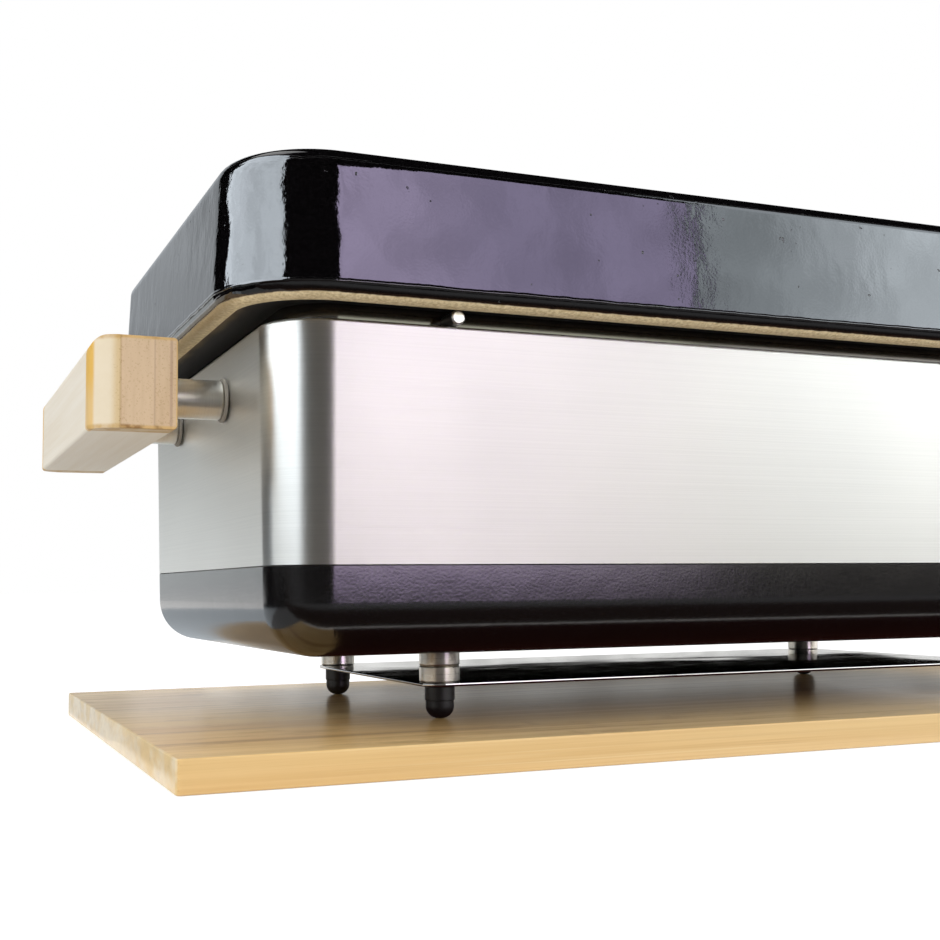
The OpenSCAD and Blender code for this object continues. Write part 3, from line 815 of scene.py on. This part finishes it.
def make_pan(enamel, primer):
    """A drawn tray with a deep round edge, stepped in at the top to stand inside the jacket."""
    low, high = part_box("base_pan")
    jacket_low, jacket_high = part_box("steel_jacket")
    top = jacket_low.z
    half_x, half_y = jacket_high.x - CASE_CORNER, jacket_high.y - CASE_CORNER
    wall = case_radius(top)
    foot = case_radius(low.z + PAN_ROUND)
    lip = wall - JACKET_SHEET - PAN_LIP_GAP
    bend = foot - PAN_ROUND
    pan = open_piece("enamel_pan")
    pen = corner_pen(half_x, half_y)
    pen.start(0, low.z).line(bend, low.z).arc(bend, low.z + PAN_ROUND, QUARTER, 14)
    pen.line(wall, top - PAN_ARRIS).line(wall - PAN_ARRIS, top).line(lip, top)
    pen.line(lip, high.z).line(lip - PAN_SHEET, high.z).line(lip - PAN_SHEET, top - PAN_SHOULDER)
    pen.line(wall - PAN_SHEET, top - PAN_SHOULDER).line(foot - PAN_SHEET, low.z + PAN_ROUND)
    pen.arc(bend, low.z + PAN_ROUND, -QUARTER, 10).line(0, low.z + PAN_SHEET)
    sweep(half_x, half_y)
    join_seams()
    fill(pan, low.z)
    fill(pan, low.z + PAN_SHEET)
    join_seams()
    drill(pan, [(i * VENT_PITCH, 0, low.z) for i in VENTS], PAN_VENT, VENT_DRILL)
    studs = [middle(f"upper_spacer_{corner}") for corner in CORNERS]
    drill(pan, [(place.x, place.y, low.z) for place in studs], SPACER_BORE, STUD_DRILL)
    pan.data.materials.append(enamel)
    pan.data.materials.append(primer)
    paint(pan, 1, lambda place: place.z < low.z + NEAR)
    shade(pan)
    settle(pan, "casing", "black_enamel", enamel, "base_pan")


def make_jacket(finish):
    """A rolled sheet band that draws in a little towards its foot, with a flange at the top."""
    low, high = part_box("steel_jacket")
    half_x, half_y = high.x - CASE_CORNER, high.y - CASE_CORNER
    foot = case_radius(low.z)
    bend_z = high.z - JACKET_BEND
    bend = CASE_CORNER - JACKET_BEND
    flange = CASE_CORNER - JACKET_FLANGE
    jacket = open_piece("steel_band")
    pen = corner_pen(half_x, half_y)
    pen.start(foot, low.z).line(CASE_CORNER, bend_z).arc(bend, bend_z, QUARTER, 6).line(flange, high.z)
    pen.line(flange, high.z - JACKET_SHEET).line(bend, high.z - JACKET_SHEET)
    pen.arc(bend, bend_z, -QUARTER, 4).line(foot - JACKET_SHEET, low.z).close()
    sweep(half_x, half_y)
    join_seams()
    bolts = [middle(f"handle_collar_{corner}") for corner in CORNERS]
    drill(jacket, bolts, BOLT_BORE, BOLT_DRILL, (0, QUARTER, 0))
    shade(jacket)
    settle(jacket, "casing", "jacket_steel", finish, "steel_jacket")


# Firebox

RIM_HEIGHT = 0.056
RIM_CORNER = 0.038
RIM_FLARE = 0.0022
RIM_HEAD = 0.006
RIM_FOOT = 0.006
GLAZE_END = 0.0015
BARE_RING = 0.009
BARE_STEP = 0.002
TROUGH_WALL = 0.016
TROUGH_CORNER = 0.020
TROUGH_DRAW = 0.004
TROUGH_FOOT = 0.012
TROUGH_FLOOR = 0.014
SEAT_CORNER = 0.027
SEAT_GAP = 0.0012
SEAT_LEDGE = 0.009
MOUTH_ROUND = 0.003
CAVITY_DRAW = 0.003
CHARCOAL_LEDGE = 0.010
ASH_ROUND = 0.004
AIR_HOLE = 0.009
AIR_DRILL = 0.03
PLAN_STEPS = 28


def make_firebox(glaze, trough, clay):
    """A heavy rim, a trough below it and a stepped cavity, swept round three plans and closed."""
    low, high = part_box("firebox")
    seat_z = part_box("grate_frame")[0].z
    ledge_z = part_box("charcoal_bars")[0].z
    frame_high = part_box("grate_frame")[1]
    rim_z = high.z - RIM_HEIGHT
    floor_z = low.z + TROUGH_FLOOR
    box = open_piece("firebox_ceramic")

    lower = RIM_CORNER + RIM_FLARE
    rim_x, rim_y = high.x - lower, high.y - lower
    ring = lower - BARE_RING
    pen = corner_pen(rim_x, rim_y)
    pen.start(ring, rim_z + BARE_STEP).line(ring, rim_z).line(lower - RIM_FOOT, rim_z)
    pen.arc(lower - RIM_FOOT, rim_z + RIM_FOOT, QUARTER, 8).line(RIM_CORNER, high.z - RIM_HEAD)
    pen.arc(RIM_CORNER - RIM_HEAD, high.z - RIM_HEAD, QUARTER, 10)
    sweep(rim_x, rim_y, PLAN_STEPS)

    cavity_x = frame_high.x + SEAT_GAP - SEAT_CORNER
    cavity_y = frame_high.y + SEAT_GAP - SEAT_CORNER
    wall = SEAT_CORNER - SEAT_LEDGE
    foot = wall - CAVITY_DRAW
    ash = foot - CHARCOAL_LEDGE
    pen = corner_pen(cavity_x, cavity_y)
    mouth = SEAT_CORNER + MOUTH_ROUND
    pen.start(mouth, high.z).arc(mouth, high.z - MOUTH_ROUND, QUARTER, 6)
    pen.line(SEAT_CORNER, seat_z).line(wall, seat_z).line(foot, ledge_z).line(ash, ledge_z)
    pen.line(ash, floor_z + ASH_ROUND).arc(ash - ASH_ROUND, floor_z + ASH_ROUND, -QUARTER, 4)
    pen.line(0, floor_z)
    sweep(cavity_x, cavity_y, PLAN_STEPS)

    trough_x = cavity_x + wall + TROUGH_WALL - TROUGH_CORNER
    trough_y = cavity_y + wall + TROUGH_WALL - TROUGH_CORNER
    waist = rim_z + BARE_STEP
    toe = TROUGH_CORNER - TROUGH_DRAW
    share = (waist - low.z - TROUGH_FOOT) / (rim_z + RIM_HEIGHT / 2 - low.z - TROUGH_FOOT)
    pen = corner_pen(trough_x, trough_y)
    pen.start(0, low.z).line(toe - TROUGH_FOOT, low.z)
    pen.arc(toe - TROUGH_FOOT, low.z + TROUGH_FOOT, QUARTER, 10)
    pen.line(toe + TROUGH_DRAW * share, waist)
    sweep(trough_x, trough_y, PLAN_STEPS)

    join_seams()
    fill(box, low.z)
    fill(box, floor_z)
    bridge(box, high.z)
    bridge(box, waist)
    join_seams()
    drill(box, [(i * VENT_PITCH, 0, (low.z + floor_z) / 2) for i in VENTS], AIR_HOLE, AIR_DRILL)

    for finish in (glaze, trough, clay):
        box.data.materials.append(finish)
    inner_x, inner_y = cavity_x + wall + NEAR, cavity_y + wall + NEAR
    paint(box, 1, lambda place: place.z < rim_z - NEAR or abs(place.z - waist) < NEAR)
    paint(box, 2, lambda place: floor_z - NEAR < place.z < seat_z - NEAR
          and abs(place.x) < inner_x and abs(place.y) < inner_y)
    shade(box)
    settle(box, "firebox", "black_glaze", glaze, "firebox")


# Rest pins and handles

PIN_EDGE = 0.0008
PIN_INSET = 0.012
PIN_STEPS = 32
BAR_EDGE = 0.0015
BAR_TOP = 0.006
BAR_ARRIS = 0.0006
BAR_CUT_LENGTH = 0.012
BAR_CUT_DEPTH = 0.011
BAR_SPARE = 0.01
INSERT_BORE = 0.0046
INSERT_DRILL = 0.034
STANDOFF_BORE = 0.0026
STANDOFF_EDGE = 0.0012
COLLAR_EDGE = 0.0005


def make_pins(finish):
    low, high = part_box("rest_pins")
    radius = (high.z - low.z) / 2
    centre = middle("rest_pins")
    inner_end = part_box("charcoal_bars")[1].y + PIN_INSET
    reach = high.y
    pins = []
    for x in (low.x + radius, high.x - radius):
        for side in (-1, 1):
            pin = open_piece("rest_pin")
            pen = Pen((x, 0, centre.z), UP, ACROSS * side)
            pen.start(0, inner_end).line(radius, inner_end).line(radius, reach - PIN_EDGE)
            pen.arc(radius - PIN_EDGE, reach - PIN_EDGE, QUARTER, 4).line(0, reach)
            turn_on_lathe((x, 0, centre.z), ACROSS, PIN_STEPS)
            pins.append(pin)
    pins = join_pieces(pins, "rest_pins_set")
    shade(pins)
    settle(pins, "firebox", "satin_steel", finish, "rest_pins")


def make_handles(finish):
    """A bar with a rounder outer top edge, cut round at the outer corners of both ends."""
    low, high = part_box("handle_bar_right")
    depth, tall, half = high.x - low.x, high.z - low.z, high.y
    bar = open_piece("handle_bar.right")
    pen = Pen((low.x, -half, low.z), ALONG, UP)
    pen.start(BAR_EDGE, 0).line(depth - BAR_EDGE, 0).arc(depth - BAR_EDGE, BAR_EDGE, QUARTER, 5)
    pen.line(depth, tall - BAR_TOP).arc(depth - BAR_TOP, tall - BAR_TOP, QUARTER, 12)
    pen.line(BAR_EDGE, tall).arc(BAR_EDGE, tall - BAR_EDGE, QUARTER, 5)
    pen.line(0, BAR_EDGE).arc(BAR_EDGE, BAR_EDGE, QUARTER, 5).close()
    extrude_outline(ACROSS * 2 * half)
    radius = (BAR_CUT_LENGTH ** 2 + BAR_CUT_DEPTH ** 2) / (2 * BAR_CUT_DEPTH)
    turn = math.asin(BAR_CUT_LENGTH / radius)
    straight = half - BAR_CUT_LENGTH
    past = depth + BAR_SPARE
    for side in (-1, 1):
        corner = open_piece("bar_corner")
        pen = Pen((low.x, 0, low.z - BAR_SPARE), ALONG, ACROSS * side)
        pen.start(past, straight).line(depth, straight).arc(depth - radius, straight, turn, 20)
        pen.line(depth - BAR_CUT_DEPTH, half + BAR_SPARE).line(past, half + BAR_SPARE).close()
        extrude_outline(UP * (tall + 2 * BAR_SPARE))
        carve(bar, corner)
    reopen(bar)
    join_seams()
    soften(bar, lambda edge: sharp(edge) and min(abs(v.co.y) for v in edge.verts) > half - NEAR,
           BAR_ARRIS, 2)
    inserts = [middle(f"handle_standoff_{corner}") for corner in CORNERS if "right" in corner]
    holes = [Vector((low.x, place.y, place.z)) for place in inserts]
    drill(bar, holes, INSERT_BORE, INSERT_DRILL, (0, QUARTER, 0))
    shade(bar)
    twin = copy_piece(bar, "handle_bar.left", (0, 0, 0), turned=True)
    settle(bar, "casing", "handle_bamboo", finish, "handle_bar_right")
    settle(twin, "casing", "handle_bamboo", finish, "handle_bar_left")


# Grates

GRATE_CORNER = 0.0258
GRATE_BAND = 0.005
GRATE_EDGE = 0.0006
BRACE_THICK = 0.003
ROD_PITCH = 0.0105
ROD_COUNT = 41
ROD_STEPS = 14
WELD_BEAD = 0.0012
CHARCOAL_PITCH = 0.0145
CHARCOAL_COUNT = 27
CHARCOAL_THICK = 0.005
IRON_EDGE = 0.0007


def make_grate_frame(finish):
    low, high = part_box("grate_frame")
    half_x, half_y = high.x - GRATE_CORNER, high.y - GRATE_CORNER
    ring = open_piece("cooking_grate_frame")
    inner = GRATE_CORNER - GRATE_BAND
    pen = corner_pen(half_x, half_y)
    pen.start(inner, low.z + GRATE_EDGE).line(inner + GRATE_EDGE, low.z)
    pen.line(GRATE_CORNER - GRATE_EDGE, low.z).line(GRATE_CORNER, low.z + GRATE_EDGE)
    pen.line(GRATE_CORNER, high.z - GRATE_EDGE).line(GRATE_CORNER - GRATE_EDGE, high.z)
    pen.line(inner + GRATE_EDGE, high.z).line(inner, high.z - GRATE_EDGE).close()
    sweep(half_x, half_y, 16)
    join_seams()
    shade(ring, 50)
    settle(ring, "cooking_grate", "grate_steel", finish, "grate_frame")
    return half_x, half_y, inner


def make_rods(finish, half_x, half_y, inner):
    """Round rods between the long sides, the outer ones cut to the rounded corners, with weld beads."""
    low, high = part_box("grate_rods")
    radius = (high.z - low.z) / 2
    weld = radius + WELD_BEAD / 3
    rods = []
    for i in range(ROD_COUNT):
        x = (i - ROD_COUNT // 2) * ROD_PITCH
        past = max(0.0, abs(x) - half_x)
        reach = half_y + math.sqrt(inner ** 2 - past ** 2)
        rod = open_piece("grate_rod")
        pen = Pen((x, 0, high.z - radius), UP, ACROSS)
        pen.start(0, -reach).line(weld, -reach).line(radius, WELD_BEAD - reach)
        pen.line(radius, reach - WELD_BEAD).line(weld, reach).line(0, reach)
        turn_on_lathe((x, 0, high.z - radius), ACROSS, ROD_STEPS)
        rods.append(rod)
    rods = join_pieces(rods, "cooking_grate_rods")
    shade(rods, 40)
    settle(rods, "cooking_grate", "grate_steel", finish, "grate_rods")


def make_braces(finish):
    low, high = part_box("grate_braces")
    braces = row_of_blocks("cooking_grate_braces", low, Vector((high.x, low.y + BRACE_THICK, high.z)),
                           GRATE_EDGE, 2, (0, high.y - low.y - BRACE_THICK, 0))
    settle(braces, "cooking_grate", "grate_steel", finish, "grate_braces")


def make_charcoal_grate(finish):
    low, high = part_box("charcoal_bars")
    bars = row_of_blocks("charcoal_grate_bars", low, Vector((low.x + CHARCOAL_THICK, high.y, high.z)),
                         IRON_EDGE, CHARCOAL_COUNT, (CHARCOAL_PITCH, 0, 0))
    settle(bars, "charcoal_grate", "dark_iron", finish, "charcoal_bars")
    low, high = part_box("charcoal_rails")
    rails = row_of_blocks("charcoal_grate_rails", low, Vector((high.x, low.y + CHARCOAL_THICK, high.z)),
                          IRON_EDGE, 2, (0, high.y - low.y - CHARCOAL_THICK, 0))
    settle(rails, "charcoal_grate", "dark_iron", finish, "charcoal_rails")


def dress_node(node, finish):
    """A CAD node that keeps its shape and gets a finish."""
    mesh = frame["nodes"][node].data
    mesh.materials.clear()
    mesh.materials.append(finish)


# Studio: lamps give the soft light, cards that only reflections see stand for the room, and two hold
# painted shade

WORLD_LEVEL = 0.58
FLOOR_SIDE = 60.0
FLOOR_GAP = 0.0002
FLOOR_TONE = 0.74
FLOOR_GLOW = 0.62
LEFT_WALL = -1.5
FRONT_WALL = -2.0
REAR_WALL = 3.5
CEILING = 2.8
BEHIND = 0.04
FLOOR_CARD_Z = 0.002
SHADE_GAP = 0.0005
CARD_DIM = 0.55


def seen_ray(f):
    """One where a ray comes from the camera, a reflection or glass, and zero for soft light."""
    kinds = ("Camera", "Glossy", "Transmission")
    camera, glossy, glass = [f.node("ShaderNodeLightPath", {}, {}, out=f"Is {kind} Ray") for kind in kinds]
    return camera.most(glossy).most(glass)


def make_world():
    f = Finish("studio_world", {"Color": rgb(1, 1, 1)}, world=True)
    f.feed("Strength", WORLD_LEVEL + (1 - WORLD_LEVEL) * seen_ray(f))
    bpy.context.scene.world = f.block


def make_floor():
    """A wide pale floor. It glows for the rays that are seen, and so fades into the background."""
    pick()
    bpy.ops.mesh.primitive_plane_add(size=FLOOR_SIDE, location=(0, 0, -FLOOR_GAP))
    floor = bpy.context.object
    floor.name = "studio_floor"
    f = Finish("studio_floor", {})
    matt = f.node("ShaderNodeBsdfDiffuse", {}, {"Color": rgb(FLOOR_TONE, FLOOR_TONE, FLOOR_TONE)})
    glow = f.node("ShaderNodeEmission", {}, {"Strength": FLOOR_GLOW * seen_ray(f)})
    both = f.node("ShaderNodeAddShader", {}, {0: matt, 1: glow})
    f.tree.nodes.remove(f.shader)
    f.tree.links.new(both.socket, f.tree.nodes["Material Output"].inputs["Surface"])
    floor.data.materials.append(f.block)


def soft_lamp(name, place, aim, width, height, radiance, colour):
    lamp = bpy.data.lights.new(name, "AREA")
    lamp.shape = "RECTANGLE"
    lamp.size, lamp.size_y = width, height
    lamp.energy = math.pi * width * height * radiance
    lamp.color = colour
    holder = bpy.data.objects.new(name, lamp)
    holder.location = place
    holder.rotation_euler = (Vector(aim) - Vector(place)).to_track_quat("-Z", "Y").to_euler()
    holder.visible_camera = holder.visible_glossy = False
    bpy.context.collection.objects.link(holder)


def card_finish(name, cloud, glow, *changes, grain=2.5, one_sided=False):
    """A glow that is a little cloudy. Each change has an axis, the two ends of the change and its new glow.
    A one-sided card lets rays through from behind."""
    f = Finish(name, {"Base Color": rgb(0, 0, 0), "Roughness": 1.0, "Specular IOR Level": 0.0,
                      "Emission Strength": 1.0})
    axes = dict(zip("xyz", f.axes()))
    tone = rgb(*glow)
    for axis, low, high, new_glow in changes:
        tone = f.mix(f.rise(axes[axis], low, high), tone, rgb(*new_glow))
    haze = f.rise(f.noise(grain), 0.3, 0.7)
    dim = f.node("ShaderNodeMix", {"data_type": "RGBA", "blend_type": "MULTIPLY"},
                 {0: haze * cloud, 6: tone, 7: rgb(CARD_DIM, CARD_DIM, CARD_DIM)}, out=2)
    f.feed("Emission Color", dim)
    if one_sided:
        f.feed("Alpha", 1 - f.node("ShaderNodeNewGeometry", {}, {}, out="Backfacing"))
    f.block.cycles.emission_sampling = "NONE"
    return f.block


def card(name, low, high, material):
    """A flat card between two corners, seen by reflections alone."""
    low, high = Vector(low), Vector(high)
    size = high - low
    pick()
    bpy.ops.mesh.primitive_plane_add(size=1, location=(low + high) / 2)
    sheet = bpy.context.object
    sheet.name = name
    if size.x == 0:
        sheet.rotation_euler = (0, QUARTER, 0)
        sheet.scale = (size.z, size.y, 1)
    elif size.y == 0:
        sheet.rotation_euler = (QUARTER, 0, 0)
        sheet.scale = (size.x, size.z, 1)
    else:
        sheet.scale = (size.x, size.y, 1)
    bpy.ops.object.transform_apply()
    sheet.data.materials.append(material)
    sheet.visible_camera = sheet.visible_diffuse = sheet.visible_shadow = False
    sheet.visible_transmission = sheet.visible_volume_scatter = False


def glow_card(name, low, high, cloud, glow, *changes, **more):
    """A card with a glow of its own."""
    card(name, low, high, card_finish(name, cloud, glow, *changes, **more))


def light_studio():
    soft_lamp("left_lamp", (-1.9, -0.5, 0.9), (0, 0, 0.1), 1.4, 1.2, 2.3, (1.0, 0.99, 0.98))
    soft_lamp("front_lamp", (0.9, -1.9, 1.0), (0, 0, 0.1), 1.6, 1.0, 3.1, (1.0, 0.98, 0.98))
    soft_lamp("overhead_lamp", (0.0, 0.2, 2.2), (0, 0, 0), 1.4, 1.2, 1.4, (1, 1, 1))

    black = card_finish("dark_card", 0, (0.002,) * 3)
    card("left_dark_card", (LEFT_WALL - BEHIND, FRONT_WALL, 0), (LEFT_WALL - BEHIND, 4.3, CEILING), black)
    card("front_dark_card", (-3.5, FRONT_WALL - BEHIND, 0), (3.6, FRONT_WALL - BEHIND, CEILING), black)
    card("ceiling_card", (LEFT_WALL, FRONT_WALL, CEILING), (3.6, REAR_WALL, CEILING), black)
    card("rear_top_card", (0.35, REAR_WALL, 0.8), (4.5, REAR_WALL, CEILING), black)
    card("left_floor_card", (LEFT_WALL, -0.16, FLOOR_CARD_Z), (-0.6, 1.2, FLOOR_CARD_Z), black)

    glow_card("left_low_panel", (LEFT_WALL, FRONT_WALL, 0.14), (LEFT_WALL, 0.54, 0.5),
              0.4, (0.3, 0.29, 0.27), ("y", -1.5, -0.75, (1.55, 1.57, 1.55)))
    glow_card("left_high_panel", (LEFT_WALL, -1.1, 0.5), (LEFT_WALL, 0.84, 2.5),
              0.5, (4.2, 4.6, 5.0), grain=5)
    glow_card("front_left_card", (LEFT_WALL, FRONT_WALL, 0.14), (0.19, FRONT_WALL, 0.5),
              0.2, (0.34, 0.32, 0.29))
    glow_card("front_low_panel", (0.19, FRONT_WALL, 0), (1.225, FRONT_WALL, 0.62),
              0.3, (3.5, 2.7, 4.4), ("x", 0.6, 1.2, (1.4, 1.1, 1.7)), ("z", 0.09, 0.14, (2.93, 2.90, 2.33)))
    glow_card("front_high_panel", (0.22, FRONT_WALL, 0.62), (1.25, FRONT_WALL, 1.22),
              0.65, (2.78, 2.38, 3.55), ("x", 0.45, 0.85, (1.95, 1.70, 2.62)), grain=9)
    glow_card("right_low_panel", (1.265, FRONT_WALL, 0.15), (3.5, FRONT_WALL, 0.62),
              0.4, (2.30, 2.20, 2.02), ("x", 1.5, 2.4, (3.1, 2.95, 2.75)))
    glow_card("right_high_panel", (1.28, FRONT_WALL, 0.62), (3.5, FRONT_WALL, 1.30),
              0.65, (1.90, 2.12, 2.28), ("x", 1.35, 2.0, (4.0, 4.4, 4.7)), grain=8)
    glow_card("right_top_panel", (1.4, FRONT_WALL, 1.30), (3.5, FRONT_WALL, 2.1),
              0.5, (2.3, 2.5, 2.7), ("z", 1.6, 2.1, (1.2, 1.3, 1.4)), grain=6)
    glow_card("rear_panel", (-1.7, REAR_WALL, 0), (0.3, REAR_WALL, CEILING),
              0.5, (0.95, 0.99, 1.01), ("z", 0.03, 0.12, (0.92, 0.98, 0.99)),
              ("z", 0.28, 0.57, (0.22, 0.215, 0.20)), ("z", 0.72, 1.0, (0.64, 0.68, 0.72)), grain=5)
    glow_card("overhead_panel", (-1.3, -0.2, CEILING - BEHIND), (-0.4, 1.6, CEILING - BEHIND),
              0.3, (1.4,) * 3)
    glow_card("front_floor_card", (LEFT_WALL, FRONT_WALL, FLOOR_CARD_Z), (3.6, -0.16, FLOOR_CARD_Z),
              0.3, (0.003,) * 3, ("y", -0.95, -0.6, (0.21, 0.214, 0.218)),
              ("y", -0.42, -0.26, (0.045, 0.03, 0.025)))
    glow_card("left_near_card", (-0.6, -0.16, FLOOR_CARD_Z), (-0.28, 0.0, FLOOR_CARD_Z),
              0.3, (0.27, 0.275, 0.28))
    glow_card("rear_floor_card", (-0.6, 0.0, FLOOR_CARD_Z), (-0.05, 0.7, FLOOR_CARD_Z),
              0.2, (0.66, 0.72, 0.77))
    # Painted shadow: the card in the gap behind the grill is dark low down to the right, as the shadow
    # under the shield.
    glow_card("rear_gap_shadow_card", (-0.2, 0.16, 0.0125), (0.5, 0.16, 0.06),
              0.7, (1.25, 1.25, 1.23), ("x", -0.2, 0.0, (0.1, 0.1, 0.09)),
              ("z", 0.024, 0.029, (0.88, 0.88, 0.86)), grain=25)
    # Painted shade: a dark one-sided sheet just over the board, where the pan shades it.
    shade_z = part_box("base_board")[1].z + SHADE_GAP
    glow_card("board_shade_card", (-0.20, -0.149, shade_z), (0.276, -0.02, shade_z),
              0, (0.03, 0.008, 0.006), one_sided=True)


# The build

def build():
    place_camera()
    bpy.context.scene.view_settings.view_transform = "Standard"

    board_finish = bamboo_board(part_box("base_board")[1])
    handle_finish = bamboo_handle(*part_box("handle_bar_right"))
    satin = (1.0, 0.96, 0.88)
    satin_upright = brushed_steel("satin_steel_upright", satin, 0.29, (60, 60, 2600), 0.00002, 0.5)
    satin_level = brushed_steel("satin_steel_level", satin, 0.34, (2600, 40, 40), 0.000008,
                                spread=0.04, metal=0.93)
    pin_finish = brushed_steel("satin_steel_pin", (0.90, 0.89, 0.87), 0.30, (900, 60, 900), 0.00003)
    jacket_finish = brushed_steel("jacket_steel", (0.77, 0.76, 0.725), 0.36, (5, 5, 2600), 0.000012, 0.8)
    grate_finish = brushed_steel("grate_steel", (0.58, 0.57, 0.55), 0.30, 500, 0.00004)
    zinc = brushed_steel("fastener_steel", (0.60, 0.60, 0.58), 0.36, 700, 0.00003)
    brass = brushed_steel("insert_brass", (0.72, 0.53, 0.24), 0.34, 700, 0.00003)
    glaze_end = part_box("firebox")[1] - UP * (RIM_HEIGHT - GLAZE_END)

    make_board(board_finish)
    make_feet(moulded_rubber())
    make_shield(mirror_steel())
    for kind in ("lower_spacer", "upper_spacer"):
        make_rings(kind, UP, ALONG, SPACER_BORE, SPACER_EDGE, "satin_steel", satin_upright)
    make_pan(black_enamel(), matt_primer())
    make_jacket(jacket_finish)
    make_firebox(rim_glaze(glaze_end), trough_glaze(glaze_end), bare_clay())
    make_pins(pin_finish)
    make_handles(handle_finish)
    make_rings("handle_standoff", ALONG, UP, STANDOFF_BORE, STANDOFF_EDGE, "satin_steel", satin_level)
    make_rings("handle_collar", ALONG, UP, STANDOFF_BORE, COLLAR_EDGE, "pale_collar", pale_collar())
    make_rods(grate_finish, *make_grate_frame(grate_finish))
    make_braces(grate_finish)
    make_charcoal_grate(dark_iron())
    for node in ("foot_studs", "foot_washers", "foot_nuts", "handle_bolts", "handle_bolt_washers"):
        dress_node(node, zinc)
    dress_node("handle_inserts", brass)

    make_world()
    make_floor()
    light_studio()


build()
